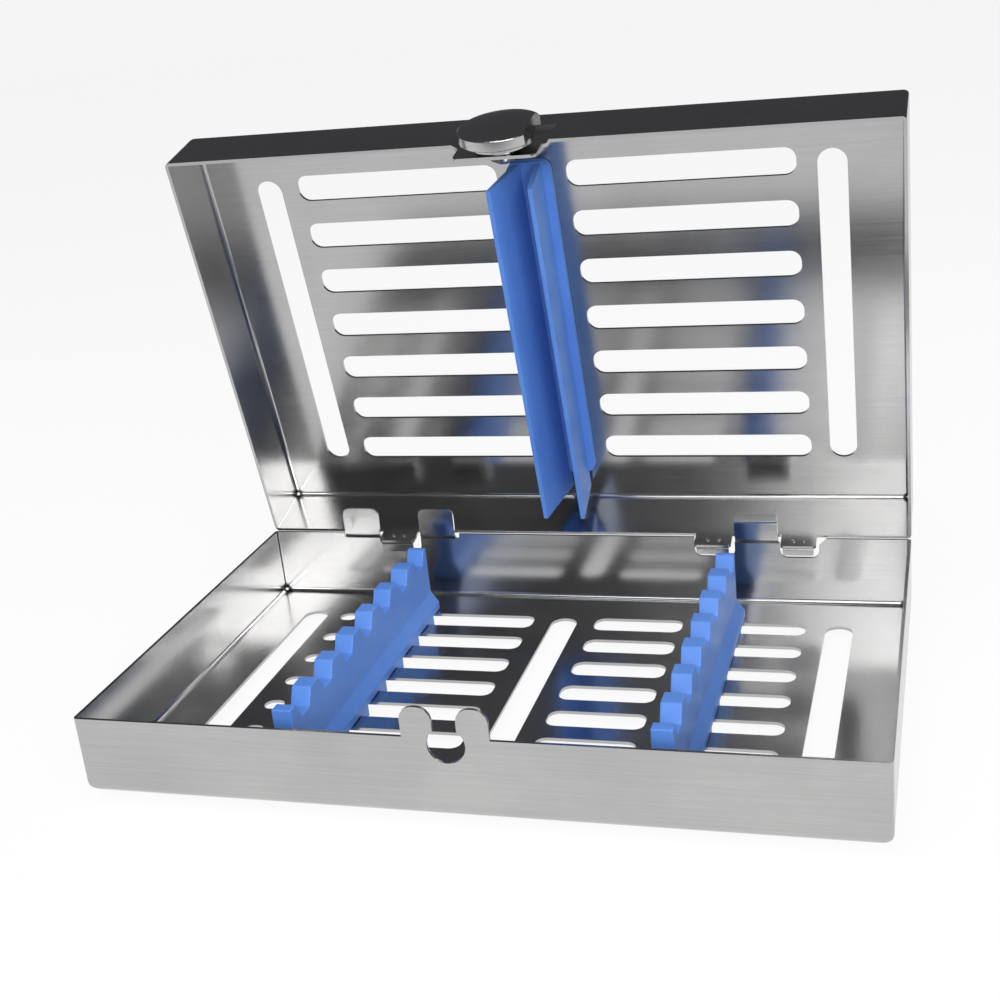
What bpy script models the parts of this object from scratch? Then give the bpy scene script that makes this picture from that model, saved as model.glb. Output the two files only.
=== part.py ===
"""Sterilization box for seven hand instruments, in metres, +Z up, front wall towards -Y.

Two folded sheet shells, a slotted base and a slotted lid, joined at the rear rim by hooked strips.
The base holds two soft combs and stands on their pegs, the lid holds a soft strip with two lips,
and a turning knob on the lid locks in the keyhole of the base's front wall.
The lid stands open. The origin is on the ground, under the middle of the whole open box.
"""

from math import asin, cos, degrees, radians, sin, sqrt

import bmesh
import bpy
from mathutils import Matrix, Vector

MM = 0.001

# Shells
WIDTH = 180.0 * MM
DEPTH = 114.0 * MM
BASE_HEIGHT = 19.2 * MM
LID_HEIGHT = 18.0 * MM
SHEET = 0.8 * MM
FOLD_RADIUS = 2.6 * MM
CORNER_HOLE = 2.4 * MM
LID_OPEN_DEGREES = 75.5

# Clearances
RIM_GAP = 0.3 * MM
SEAT_GAP = 0.2 * MM
RUNNING_GAP = 0.3 * MM
OVERRUN = 2.0 * MM
NEAR = 0.001 * MM

# Base floor: seven rows of slots across, three long slots from front to back
# Each margin is measured from the outer face of the nearer wall, in the plane of the floor
ROWS = 7
FLOOR_ROW_MARGIN = 18.0 * MM
FLOOR_SLOT = 7.3 * MM
LEFT_SLOT_MARGIN = 41.5 * MM
LEFT_MIDDLE_LAND = 5.2 * MM
SHORT_SLOT_MARGIN = 25.0 * MM
SHORT_SLOT_LENGTH = 5.1 * MM
SHORT_SLOT_WIDTH = 4.6 * MM
RIGHT_INNER_MARGIN = 57.9 * MM
RIGHT_MIDDLE_LAND = 4.9 * MM
RIGHT_OUTER_MARGIN = 25.8 * MM
RIGHT_OUTER_LENGTH = 27.2 * MM
RIGHT_OUTER_WIDTH = 6.3 * MM
LONG_SLOT_SIDE_MARGIN = 17.4 * MM
LONG_SLOT_END_MARGIN = 15.1 * MM
LONG_SLOT_WIDTH = 7.0 * MM
FLOOR_SLOT_CORNER = 2.6 * MM
SHORT_SLOT_CORNER = 2.2 * MM

# Lid panel: seven rows of slots on each side of a solid web
LID_ROW_MARGIN = 16.8 * MM
LID_ROW_SHIFT = -0.8 * MM
LID_SLOT = 7.0 * MM
LID_SLOT_CORNER = 2.9 * MM
LID_SLOT_MARGIN = 26.0 * MM
LID_WEB = 17.9 * MM
MIDDLE_X = -1.0 * MM
LID_LONG_SIDE_MARGIN = 17.7 * MM
LID_LONG_END_MARGIN = 13.7 * MM
LID_LONG_SHIFT = -0.3 * MM

# Keyhole and ears on the base's front wall
EAR_HEIGHT = 7.2 * MM
EAR_WIDTH = 7.1 * MM
EAR_CORNER = 3.2 * MM
NECK = 5.4 * MM
KEYHOLE_RADIUS = 4.3 * MM
KEYHOLE_BELOW_RIM = 1.6 * MM

# Latch pad of the lid: pressed inwards, reaching below the rim
PAD_WIDTH = 20.4 * MM
PAD_SHIFT = -0.4 * MM
PAD_SLOPE = 1.6 * MM
PAD_STEP = 1.05 * MM
PAD_DROP = 6.0 * MM
PAD_CORNER = 1.2 * MM

# Latch
KNOB_RADIUS = 10.0 * MM
KNOB_LIFT = 2.2 * MM
KNOB_SKIRT = 2.7 * MM
KNOB_DOME = 1.3 * MM
KNOB_EDGE = 0.35 * MM
KNOB_FLAT = 7.4 * MM
KNOB_STEP_BELOW = 4.6 * MM
LUG_RADIUS = 4.0 * MM
LUG_ACROSS_FLATS = 4.8 * MM
SHANK_RADIUS = 2.2 * MM
WASHER_RADIUS = 7.6 * MM
WASHER_THICKNESS = 1.2 * MM
RETAINER_RADIUS = 4.6 * MM
RETAINER_THICKNESS = 0.7 * MM
RIVET_RADIUS = 3.4 * MM
RIVET_HEIGHT = 0.9 * MM

# Rear wall of the base: tabs that locate the lid, and notches for its tongues
# Margins of the left tab, middle tab and left notch are from the left wall, the others from the right
LEFT_TAB_MARGIN = 22.7 * MM
LEFT_TAB_WIDTH = 10.6 * MM
MIDDLE_TAB_MARGIN = 45.5 * MM
MIDDLE_TAB_WIDTH = 10.3 * MM
SPRING_TAB_MARGIN = 34.0 * MM
SPRING_TAB_WIDTH = 11.4 * MM
TAB_HEIGHT = 7.8 * MM
TAB_CORNER = 2.0 * MM
TAB_ROOT = 1.3 * MM
TAB_STEP = 1.1 * MM
TAB_NICK = 0.9 * MM
SPRING_LEAN = 1.3 * MM
SPRING_BEND = 5.4 * MM
SPRING_TIP = 2.1 * MM
SPRING_RETURN = 1.0 * MM
LEFT_NOTCH_MARGIN = 33.7 * MM
LEFT_NOTCH_WIDTH = 11.4 * MM
MIDDLE_NOTCH_MARGIN = 45.7 * MM
MIDDLE_NOTCH_WIDTH = 10.8 * MM
RIGHT_NOTCH_MARGIN = 23.5 * MM
RIGHT_NOTCH_WIDTH = 10.2 * MM
NOTCH_DEPTH = 6.7 * MM
NOTCH_CORNER = 2.0 * MM
NOTCH_CHAMFER = 2.0 * MM

# Tongues of the lid and the strips welded to them
TONGUE_LENGTH = 5.9 * MM
TONGUE_CORNER = 0.8 * MM
TONGUE_SIDE_GAP = 0.5 * MM
HOOK_SHEET = 0.5 * MM
HOOK_INSET = 0.6 * MM
HOOK_ABOVE_RIM = 2.6 * MM
HOOK_LIP_LONG = 2.5 * MM
HOOK_LIP_SHORT = 1.7 * MM
HOOK_BEND = 0.4 * MM

# Racks, with margins from the walls' outer faces
LEFT_RACK_MARGIN = 47.9 * MM
RIGHT_RACK_MARGIN = 46.65 * MM
RACK_FRONT_MARGIN = 8.25 * MM
RACK_REAR_MARGIN = 11.25 * MM
RACK_ABOVE_RIM = 0.1 * MM
BLADE = 4.8 * MM
FOOT = 9.0 * MM
FOOT_TOP = 3.2 * MM
FOOT_SLOPE_TOP = 6.3 * MM
VEE_DEPTH = 3.9 * MM
VEE_HALF = 4.3 * MM
VEE_FLAT = 4.3 * MM
REAR_TOOTH = 1.8 * MM
FRONT_TOOTH = 3.1 * MM
PEG_DROP = 2.5 * MM
PEG_SIDE_GAP = 0.3 * MM
PEG_ACROSS = 7.8 * MM
PEG_CORNER = 1.2 * MM

# Lid holder, with margins from the lid's front and rear walls
HOLDER_FRONT_MARGIN = 11.5 * MM
HOLDER_REAR_MARGIN = 10.8 * MM
HOLDER_WIDTH = 11.2 * MM
HOLDER_THICKNESS = 2.2 * MM
HOLDER_CORNER = 2.6 * MM
LIP_REAR_OVERHANG = 5.2 * MM
LIP_FRONT_INSET = 0.4 * MM
LIP_BELOW_RIM = 0.4 * MM
LIP_THICKNESS = 2.0 * MM
LIP_ROOT = 2.5 * MM
LIP_LEANS = (-3.6 * MM, 1.8 * MM)
STUDS = 4
STUD_END_MARGIN = 5.65 * MM
STUD_RADIUS = 2.2 * MM
STUD_HEAD_RADIUS = 3.6 * MM
STUD_HEAD = 1.4 * MM

# Counts that set how round the curves are
FOLD_STEPS = 4
ARC_STEPS = 8
TURN_STEPS = 48
DOME_STEPS = 6

STEEL = (0.56, 0.57, 0.59)
SILICONE = (0.045, 0.145, 0.50)

OPEN = radians(LID_OPEN_DEGREES)
FLOOR = PEG_DROP
FLOOR_TOP = FLOOR + SHEET
RIM = FLOOR + BASE_HEIGHT
LEFT = -WIDTH / 2
RIGHT = WIDTH / 2
FRONT = -DEPTH / 2
REAR = DEPTH / 2
HOLDER_FRONT = FRONT + HOLDER_FRONT_MARGIN
HOLDER_REAR = REAR - HOLDER_REAR_MARGIN
FLAT_TO_XZ = Matrix.Rotation(radians(90), 4, "X")
FLAT_TO_YZ = Matrix(((0, 0, 1, 0), (1, 0, 0, 0), (0, 1, 0, 0), (0, 0, 0, 1)))


def start():
    """Empties the scene and makes the two collections."""
    for thing in list(bpy.data.objects):
        bpy.data.objects.remove(thing)
    for name in ("sterilization_box", "cutters"):
        bpy.context.scene.collection.children.link(bpy.data.collections.new(name))


def add_empty(name, parent, location, rotation=(0, 0, 0)):
    empty = bpy.data.objects.new(name, None)
    empty.location = location
    empty.rotation_euler = rotation
    empty.parent = parent
    bpy.data.collections["sterilization_box"].objects.link(empty)
    return empty


def add_part(name, mesh, parent, colour, roughness, metallic):
    """Links a piece with its own material."""
    material = bpy.data.materials.new(name)
    material.use_nodes = True
    surface = material.node_tree.nodes["Principled BSDF"]
    surface.inputs["Base Color"].default_value = (*colour, 1)
    surface.inputs["Roughness"].default_value = roughness
    surface.inputs["Metallic"].default_value = metallic
    mesh.materials.clear()
    mesh.materials.append(material)
    piece = bpy.data.objects.new(name, mesh)
    piece.parent = parent
    bpy.data.collections["sterilization_box"].objects.link(piece)
    return piece


def add_steel(name, mesh, parent, roughness=0.35):
    return add_part(name, mesh, parent, STEEL, roughness, 1)


def add_silicone(name, mesh, parent):
    return add_part(name, mesh, parent, SILICONE, 0.5, 0)


def add_helper(name, mesh, parent):
    """Links a shape that only cuts or completes another."""
    helper = bpy.data.objects.new(name, mesh)
    helper.parent = parent
    helper.hide_render = True
    helper.display_type = "WIRE"
    bpy.data.collections["cutters"].objects.link(helper)
    return helper


def combine(piece, helper, operation):
    boolean = piece.modifiers.new(helper.name, "BOOLEAN")
    boolean.operation = operation
    boolean.object = helper


def to_mesh(name, shape):
    mesh = bpy.data.meshes.new(name)
    shape.to_mesh(mesh)
    shape.free()
    return mesh


def arc(centre, radius, start_degrees, end_degrees, steps=ARC_STEPS):
    """Points along an arc, both ends included."""
    points = []
    for step in range(steps + 1):
        angle = radians(start_degrees + (end_degrees - start_degrees) * step / steps)
        points.append((centre[0] + radius * cos(angle), centre[1] + radius * sin(angle)))
    return points


def slot_along_x(x_range, y, width, corner):
    """A slot whose ends are flatter than half circles where the corner is less than half its width."""
    return rounded_rectangle(x_range, (y - width / 2, y + width / 2), corner)


def slot_along_y(x, reach, width, shift=0):
    radius = width / 2
    rear_end = arc((x, shift + reach - radius), radius, 0, 180)
    front_end = arc((x, shift - reach + radius), radius, 180, 360)
    return rear_end + front_end


def circle(centre, radius, steps):
    return arc(centre, radius, 0, 360, steps)[:-1]


def rounded_rectangle(u_range, v_range, corner):
    low_u, high_u = u_range
    low_v, high_v = v_range
    points = arc((high_u - corner, high_v - corner), corner, 0, 90, ARC_STEPS // 2)
    points += arc((low_u + corner, high_v - corner), corner, 90, 180, ARC_STEPS // 2)
    points += arc((low_u + corner, low_v + corner), corner, 180, 270, ARC_STEPS // 2)
    points += arc((high_u - corner, low_v + corner), corner, 270, 360, ARC_STEPS // 2)
    return points


def extruded(name, outlines, thickness, turn=None, shift=(0, 0, 0)):
    """A mesh of flat outlines given a thickness, turned from XY and then shifted."""
    curve = bpy.data.curves.new(name, "CURVE")
    curve.dimensions = "2D"
    curve.fill_mode = "BOTH"
    curve.extrude = thickness / 2
    for outline in outlines:
        spline = curve.splines.new("POLY")
        spline.points.add(len(outline) - 1)
        spline.use_cyclic_u = True
        for point, place in zip(spline.points, outline):
            point.co = (*place, 0, 1)
    holder = bpy.data.objects.new(name, curve)
    bpy.context.scene.collection.objects.link(holder)
    evaluated = holder.evaluated_get(bpy.context.evaluated_depsgraph_get())
    shape = bmesh.new()
    mesh = bpy.data.meshes.new_from_object(evaluated)
    shape.from_mesh(mesh)
    bpy.data.objects.remove(holder)
    bpy.data.meshes.remove(mesh)
    bmesh.ops.remove_doubles(shape, verts=shape.verts, dist=NEAR)
    bmesh.ops.recalc_face_normals(shape, faces=shape.faces)
    if turn:
        bmesh.ops.transform(shape, matrix=turn, verts=shape.verts)
    bmesh.ops.translate(shape, vec=shift, verts=shape.verts)
    return to_mesh(name, shape)


def turned(name, profile, parent, closed=False):
    """A steel piece turned about its own Z axis; the profile runs down its outer side."""
    shape = bmesh.new()
    corners = [shape.verts.new((radius, 0, height)) for radius, height in profile]
    ends = corners[1:] + corners[:1] if closed else corners[1:]
    for first, second in zip(corners, ends):
        shape.edges.new((first, second))
    piece = add_steel(name, to_mesh(name, shape), parent)
    screw = piece.modifiers.new("turn", "SCREW")
    screw.steps = TURN_STEPS
    screw.render_steps = TURN_STEPS
    screw.use_merge_vertices = True
    screw.merge_threshold = NEAR
    screw.use_smooth_shade = True
    return piece


def ring(name, parent, radii, z_range):
    inner, outer = radii
    low, high = z_range
    profile = [(outer, high), (outer, low), (inner, low), (inner, high)]
    return turned(name, profile, parent, closed=True)


def pan_surface(height):
    """The outer surface of a folded pan: panel at z = 0, walls up to an open rim."""
    pan = bmesh.new()
    bmesh.ops.create_cube(pan, size=1)
    bmesh.ops.scale(pan, vec=(WIDTH, DEPTH, height), verts=pan.verts)
    bmesh.ops.translate(pan, vec=(0, 0, height / 2), verts=pan.verts)
    top = [face for face in pan.faces if face.normal.z > 0.5]
    bmesh.ops.delete(pan, geom=top, context="FACES")
    folds = [edge for edge in pan.edges if max(vert.co.z for vert in edge.verts) < NEAR]
    bmesh.ops.bevel(
        pan, geom=folds, offset=FOLD_RADIUS, segments=FOLD_STEPS, profile=0.5, affect="EDGES"
    )
    return pan


def wall_geometry(pan, wall_y):
    """The flat faces of the wall at wall_y, with their edges and corners."""
    faces = [f for f in pan.faces if all(abs(v.co.y - wall_y) < NEAR for v in f.verts)]
    edges = {edge for face in faces for edge in face.edges}
    verts = {vert for face in faces for vert in face.verts}
    return faces + list(edges) + list(verts)


def split_wall(pan, wall_y, place, normal):
    bmesh.ops.bisect_plane(
        pan, geom=wall_geometry(pan, wall_y), dist=NEAR, plane_co=place, plane_no=normal
    )


def rim_edges(pan, wall_y, x_range, z):
    """The edges of one wall at height z that lie within the range of x."""
    low, high = x_range
    found = []
    for edge in pan.edges:
        inside = all(low - NEAR < vert.co.x < high + NEAR for vert in edge.verts)
        level = all(abs(vert.co.z - z) < NEAR for vert in edge.verts)
        on_wall = all(abs(vert.co.y - wall_y) < NEAR for vert in edge.verts)
        if inside and level and on_wall:
            found.append(edge)
    return found


def grow_edges(pan, edges, steps, corner):
    """Extrudes edges by each step in y and z, then rounds the two end corners."""
    for step_y, step_z in steps:
        grown = bmesh.ops.extrude_edge_only(pan, edges=edges)["geom"]
        verts = {item for item in grown if isinstance(item, bmesh.types.BMVert)}
        edges = [
            item
            for item in grown
            if isinstance(item, bmesh.types.BMEdge) and verts.issuperset(item.verts)
        ]
        bmesh.ops.translate(pan, vec=(0, step_y, step_z), verts=list(verts))
    ends = sorted(verts, key=lambda vert: vert.co.x)
    if corner:
        bmesh.ops.bevel(
            pan,
            geom=[ends[0], ends[-1]],
            offset=corner,
            segments=ARC_STEPS // 2,
            profile=0.5,
            affect="VERTICES",
        )


def grow_tab(pan, wall_y, x_range, rim, steps, corner):
    """Grows a tab out of the rim itself, in the plane of the wall."""
    for x in x_range:
        split_wall(pan, wall_y, (x, 0, 0), (1, 0, 0))
    grow_edges(pan, rim_edges(pan, wall_y, x_range, rim), steps, corner)


def grow_stepped_tab(pan, wall_y, x_range, rim, steps, corner):
    """Grows a tab from below the rim, between two relief nicks."""
    root = rim - TAB_ROOT
    window = (x_range[0] - TAB_NICK, x_range[1] + TAB_NICK)
    for x in (*x_range, *window):
        split_wall(pan, wall_y, (x, 0, 0), (1, 0, 0))
    split_wall(pan, wall_y, (0, 0, root), (0, 0, 1))
    opened = []
    for face in pan.faces:
        centre = face.calc_center_median()
        if abs(centre.y - wall_y) < NEAR and root < centre.z < rim:
            if window[0] < centre.x < window[1]:
                opened.append(face)
    bmesh.ops.delete(pan, geom=opened, context="FACES")
    grow_edges(pan, rim_edges(pan, wall_y, x_range, root), steps, corner)


def face_outwards(pan, panel_z):
    """Makes every face of an open pan look away from its inside."""
    bmesh.ops.recalc_face_normals(pan, faces=pan.faces)
    panel = max(pan.faces, key=lambda face: face.calc_area())
    middle = sum(vert.co.z for vert in pan.verts) / len(pan.verts)
    inside_is_above = middle > panel_z
    if (panel.normal.z > 0) == inside_is_above:
        bmesh.ops.reverse_faces(pan, faces=pan.faces)


def fold_sheet(piece):
    solidify = piece.modifiers.new("sheet", "SOLIDIFY")
    solidify.thickness = SHEET
    solidify.offset = -1
    solidify.use_even_offset = True


def corner_holes(name, parent, place, outwards):
    """Small holes where two walls and the panel meet, drilled along the corners' diagonals."""
    shape = bmesh.new()
    for side in (-1, 1):
        for end in (-1, 1):
            corner = Vector((side * WIDTH / 2, end * DEPTH / 2, 0)) + Vector(place)
            aim = Vector((side, end, outwards)).to_track_quat("Z", "Y").to_matrix().to_4x4()
            bmesh.ops.create_cone(
                shape,
                cap_ends=True,
                segments=ARC_STEPS,
                radius1=CORNER_HOLE / 2,
                radius2=CORNER_HOLE / 2,
                depth=4 * FOLD_RADIUS,
                matrix=Matrix.Translation(corner) @ aim,
            )
    return add_helper(name, to_mesh(name, shape), parent)


def row_places(margin, shift=0):
    """Places of the rows, with the outermost ones a margin from the walls."""
    pitch = (DEPTH - 2 * margin) / (ROWS - 1)
    return [shift + FRONT + margin + pitch * row for row in range(ROWS)]


def from_left(margin, length):
    return (LEFT + margin, LEFT + margin + length)


def from_right(margin, length):
    return (RIGHT - margin - length, RIGHT - margin)


def floor_slots(frame):
    middle = LONG_SLOT_WIDTH / 2
    columns = (
        ((LEFT + LEFT_SLOT_MARGIN, -middle - LEFT_MIDDLE_LAND), FLOOR_SLOT),
        ((middle + RIGHT_MIDDLE_LAND, RIGHT - RIGHT_INNER_MARGIN), FLOOR_SLOT),
        (from_right(RIGHT_OUTER_MARGIN, RIGHT_OUTER_LENGTH), RIGHT_OUTER_WIDTH),
    )
    short = from_left(SHORT_SLOT_MARGIN, SHORT_SLOT_LENGTH)
    outlines = []
    for y in row_places(FLOOR_ROW_MARGIN):
        for x_range, width in columns:
            outlines.append(slot_along_x(x_range, y, width, FLOOR_SLOT_CORNER))
        outlines.append(slot_along_x(short, y, SHORT_SLOT_WIDTH, SHORT_SLOT_CORNER))
    reach = REAR - LONG_SLOT_END_MARGIN
    for x in (LEFT + LONG_SLOT_SIDE_MARGIN, 0, RIGHT - LONG_SLOT_SIDE_MARGIN):
        outlines.append(slot_along_y(x, reach, LONG_SLOT_WIDTH))
    mesh = extruded("floor_slots", outlines, SHEET + 2 * OVERRUN, shift=(0, 0, FLOOR))
    return add_helper("floor_slots", mesh, frame)


def keyhole(frame):
    """The round hole with the neck that opens between the ears."""
    centre = (MIDDLE_X, RIM - KEYHOLE_BELOW_RIM)
    half = NECK / 2
    gape = degrees(asin(half / KEYHOLE_RADIUS))
    outline = arc(centre, KEYHOLE_RADIUS, 90 + gape, 450 - gape, 3 * ARC_STEPS)
    outline += [(MIDDLE_X + half, RIM + OVERRUN), (MIDDLE_X - half, RIM + OVERRUN)]
    mesh = extruded("keyhole", [outline], 2 * OVERRUN, FLAT_TO_XZ, (0, FRONT, 0))
    return add_helper("keyhole", mesh, frame)


def notch_outline(x_range, chamfer):
    low, high = x_range
    bottom = RIM - NOTCH_DEPTH
    points = arc((low + NOTCH_CORNER, bottom + NOTCH_CORNER), NOTCH_CORNER, 180, 270, ARC_STEPS // 2)
    points += arc((high - NOTCH_CORNER, bottom + NOTCH_CORNER), NOTCH_CORNER, 270, 360, ARC_STEPS // 2)
    if chamfer:
        points += [(high, RIM - chamfer), (high + chamfer + OVERRUN, RIM + OVERRUN)]
    else:
        points.append((high, RIM + OVERRUN))
    points.append((low, RIM + OVERRUN))
    return points


def notch_ranges():
    return [
        from_left(LEFT_NOTCH_MARGIN, LEFT_NOTCH_WIDTH),
        from_right(MIDDLE_NOTCH_MARGIN, MIDDLE_NOTCH_WIDTH),
        from_right(RIGHT_NOTCH_MARGIN, RIGHT_NOTCH_WIDTH),
    ]


def hinge_notches(frame):
    chamfers = (0, 0, NOTCH_CHAMFER)
    outlines = [notch_outline(*notch) for notch in zip(notch_ranges(), chamfers)]
    mesh = extruded("hinge_notches", outlines, 2 * OVERRUN, FLAT_TO_XZ, (0, REAR, 0))
    return add_helper("hinge_notches", mesh, frame)


def base_tray(frame):
    pan = pan_surface(BASE_HEIGHT)
    bmesh.ops.translate(pan, vec=(0, 0, FLOOR), verts=pan.verts)
    ear_start = NECK / 2
    ear_end = NECK / 2 + EAR_WIDTH
    for ear in (
        (MIDDLE_X - ear_end, MIDDLE_X - ear_start),
        (MIDDLE_X + ear_start, MIDDLE_X + ear_end),
    ):
        grow_tab(pan, FRONT, ear, RIM, [(0, EAR_HEIGHT)], EAR_CORNER)
    upright = TAB_HEIGHT + TAB_ROOT - TAB_STEP
    left_tab = from_left(LEFT_TAB_MARGIN, LEFT_TAB_WIDTH)
    middle_tab = from_left(MIDDLE_TAB_MARGIN, MIDDLE_TAB_WIDTH)
    spring_tab = from_right(SPRING_TAB_MARGIN, SPRING_TAB_WIDTH)
    for tab in (left_tab, middle_tab):
        steps = [(-TAB_STEP, TAB_STEP), (0, upright)]
        grow_stepped_tab(pan, REAR, tab, RIM, steps, TAB_CORNER)
    spring_steps = [
        (-TAB_STEP, TAB_STEP),
        (-SPRING_LEAN, SPRING_BEND),
        (SPRING_RETURN, SPRING_TIP),
    ]
    grow_stepped_tab(pan, REAR, spring_tab, RIM, spring_steps, 0)
    face_outwards(pan, FLOOR)
    tray = add_steel("base_tray", to_mesh("base_tray", pan), frame)
    fold_sheet(tray)
    combine(tray, floor_slots(frame), "DIFFERENCE")
    combine(tray, keyhole(frame), "DIFFERENCE")
    combine(tray, hinge_notches(frame), "DIFFERENCE")
    combine(tray, corner_holes("base_corner_holes", frame, (0, 0, FLOOR), -1), "DIFFERENCE")


def rack(name, frame, x, slot):
    """A comb with a wide foot, and pegs that fill a row of slots and stand under the floor."""
    bottom = FLOOR_TOP + SEAT_GAP
    top = RIM + RACK_ABOVE_RIM
    front = FRONT + RACK_FRONT_MARGIN
    rear = REAR - RACK_REAR_MARGIN
    section = []
    for side in (1, -1):
        half = [
            (x + side * BLADE / 2, top),
            (x + side * BLADE / 2, FLOOR + FOOT_SLOPE_TOP),
            (x + side * FOOT / 2, FLOOR + FOOT_TOP),
            (x + side * FOOT / 2, bottom),
        ]
        section += half[::side]
    mesh = extruded(name, [section], rear - front, FLAT_TO_XZ, (0, (front + rear) / 2, 0))
    comb = add_silicone(name, mesh, frame)

    vees = []
    slope = (VEE_HALF - VEE_FLAT / 2) / VEE_DEPTH
    mouth = VEE_HALF + SEAT_GAP * slope
    last = rear - REAR_TOOTH - VEE_HALF
    pitch = (last - (front + FRONT_TOOTH + VEE_HALF)) / (ROWS - 1)
    for vee in range(ROWS):
        y = last - vee * pitch
        tip = top - VEE_DEPTH
        outline = [(y - mouth, top + OVERRUN), (y - mouth, top + SEAT_GAP)]
        outline += [(y - VEE_FLAT / 2, tip), (y + VEE_FLAT / 2, tip)]
        outline += [(y + mouth, top + SEAT_GAP), (y + mouth, top + OVERRUN)]
        vees.append(outline)
    vee_mesh = extruded(name + "_vees", vees, BLADE + 2 * OVERRUN, FLAT_TO_YZ, (x, 0, 0))
    combine(comb, add_helper(name + "_vees", vee_mesh, frame), "DIFFERENCE")

    pegs = []
    for y in row_places(FLOOR_ROW_MARGIN):
        x_range = (x - PEG_ACROSS / 2, x + PEG_ACROSS / 2)
        y_range = (y - slot / 2 + PEG_SIDE_GAP, y + slot / 2 - PEG_SIDE_GAP)
        pegs.append(rounded_rectangle(x_range, y_range, PEG_CORNER))
    peg_height = bottom + FOOT_TOP / 2
    peg_mesh = extruded(name + "_pegs", pegs, peg_height, shift=(0, 0, peg_height / 2))
    combine(comb, add_helper(name + "_pegs", peg_mesh, frame), "UNION")


def press_latch_pad(lid, rim):
    """Presses the pad of the front wall inwards and grows it below the rim."""
    middle = MIDDLE_X + PAD_SHIFT
    outer = (middle - PAD_WIDTH / 2 - PAD_SLOPE, middle + PAD_WIDTH / 2 + PAD_SLOPE)
    top = rim + EAR_HEIGHT + PAD_SLOPE + RUNNING_GAP
    for x in outer:
        split_wall(lid, -DEPTH, (x, 0, 0), (1, 0, 0))
    split_wall(lid, -DEPTH, (0, 0, top), (0, 0, 1))
    pad = []
    for face in lid.faces:
        centre = face.calc_center_median()
        if abs(centre.y + DEPTH) < NEAR and centre.z < top and outer[0] < centre.x < outer[1]:
            pad.append(face)
    bmesh.ops.inset_region(lid, faces=pad, thickness=PAD_SLOPE, use_even_offset=True)
    bmesh.ops.translate(lid, vec=(0, PAD_STEP, 0), verts=pad[0].verts)
    x_range = (middle - PAD_WIDTH / 2, middle + PAD_WIDTH / 2)
    edges = rim_edges(lid, PAD_STEP - DEPTH, x_range, rim)
    grow_edges(lid, edges, [(0, -PAD_DROP)], PAD_CORNER)


def stud_places():
    first = HOLDER_FRONT + STUD_END_MARGIN - REAR
    last = HOLDER_REAR - STUD_END_MARGIN - REAR
    return [first + (last - first) * stud / (STUDS - 1) for stud in range(STUDS)]


def lid_slots(hinge):
    """Cutter for the lid's slots, the stud holes and the hole for the latch."""
    panel_z = LID_HEIGHT + RIM_GAP / 2
    left_slot = (LEFT + LID_SLOT_MARGIN, MIDDLE_X - LID_WEB / 2)
    right_slot = (MIDDLE_X + LID_WEB / 2, RIGHT - LID_SLOT_MARGIN)
    shift = LID_ROW_SHIFT - REAR
    outlines = []
    for y in row_places(LID_ROW_MARGIN, shift):
        for x_range in (left_slot, right_slot):
            outlines.append(slot_along_x(x_range, y, LID_SLOT, LID_SLOT_CORNER))
    reach = REAR - LID_LONG_END_MARGIN
    for x in (LEFT + LID_LONG_SIDE_MARGIN, RIGHT - LID_LONG_SIDE_MARGIN):
        outlines.append(slot_along_y(x, reach, LONG_SLOT_WIDTH, LID_LONG_SHIFT - REAR))
    for y in stud_places():
        outlines.append(circle((MIDDLE_X, y), STUD_RADIUS + RUNNING_GAP, 2 * ARC_STEPS))
    mesh = extruded("lid_slots", outlines, SHEET + 2 * OVERRUN, shift=(0, 0, panel_z))
    return add_helper("lid_slots", mesh, hinge)


def cylinders(name, parent, places, radius, z_range):
    """Equal upright cylinders at places in x and y, as one helper."""
    shape = bmesh.new()
    low, high = z_range
    for x, y in places:
        bmesh.ops.create_cone(
            shape,
            cap_ends=True,
            segments=2 * ARC_STEPS,
            radius1=radius,
            radius2=radius,
            depth=high - low,
            matrix=Matrix.Translation((x, y, (low + high) / 2)),
        )
    return add_helper(name, to_mesh(name, shape), parent)


def tongue_ranges():
    gap = TONGUE_SIDE_GAP
    return [(low + gap, high - gap) for low, high in notch_ranges()]


def lid_shell(hinge, latch_axis):
    """The lid as it lies when closed, seen from the hinge axis at its rear rim."""
    rim = RIM_GAP / 2
    panel_z = rim + LID_HEIGHT
    lid = pan_surface(LID_HEIGHT)
    bmesh.ops.rotate(lid, matrix=Matrix.Rotation(radians(180), 3, "X"), verts=lid.verts)
    bmesh.ops.translate(lid, vec=(0, -REAR, panel_z), verts=lid.verts)
    for x_range in tongue_ranges():
        grow_tab(lid, 0, x_range, rim, [(0, -TONGUE_LENGTH)], TONGUE_CORNER)
    press_latch_pad(lid, rim)
    face_outwards(lid, panel_z)
    shell = add_steel("lid_shell", to_mesh("lid_shell", lid), hinge)
    fold_sheet(shell)
    combine(shell, lid_slots(hinge), "DIFFERENCE")
    shank = SHANK_RADIUS + RUNNING_GAP
    depths = (-PAD_STEP - SHEET - OVERRUN, OVERRUN)
    combine(shell, cylinders("latch_hole", latch_axis, [(0, 0)], shank, depths), "DIFFERENCE")
    holes = corner_holes("lid_corner_holes", hinge, (0, -REAR, panel_z), 1)
    combine(shell, holes, "DIFFERENCE")


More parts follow.
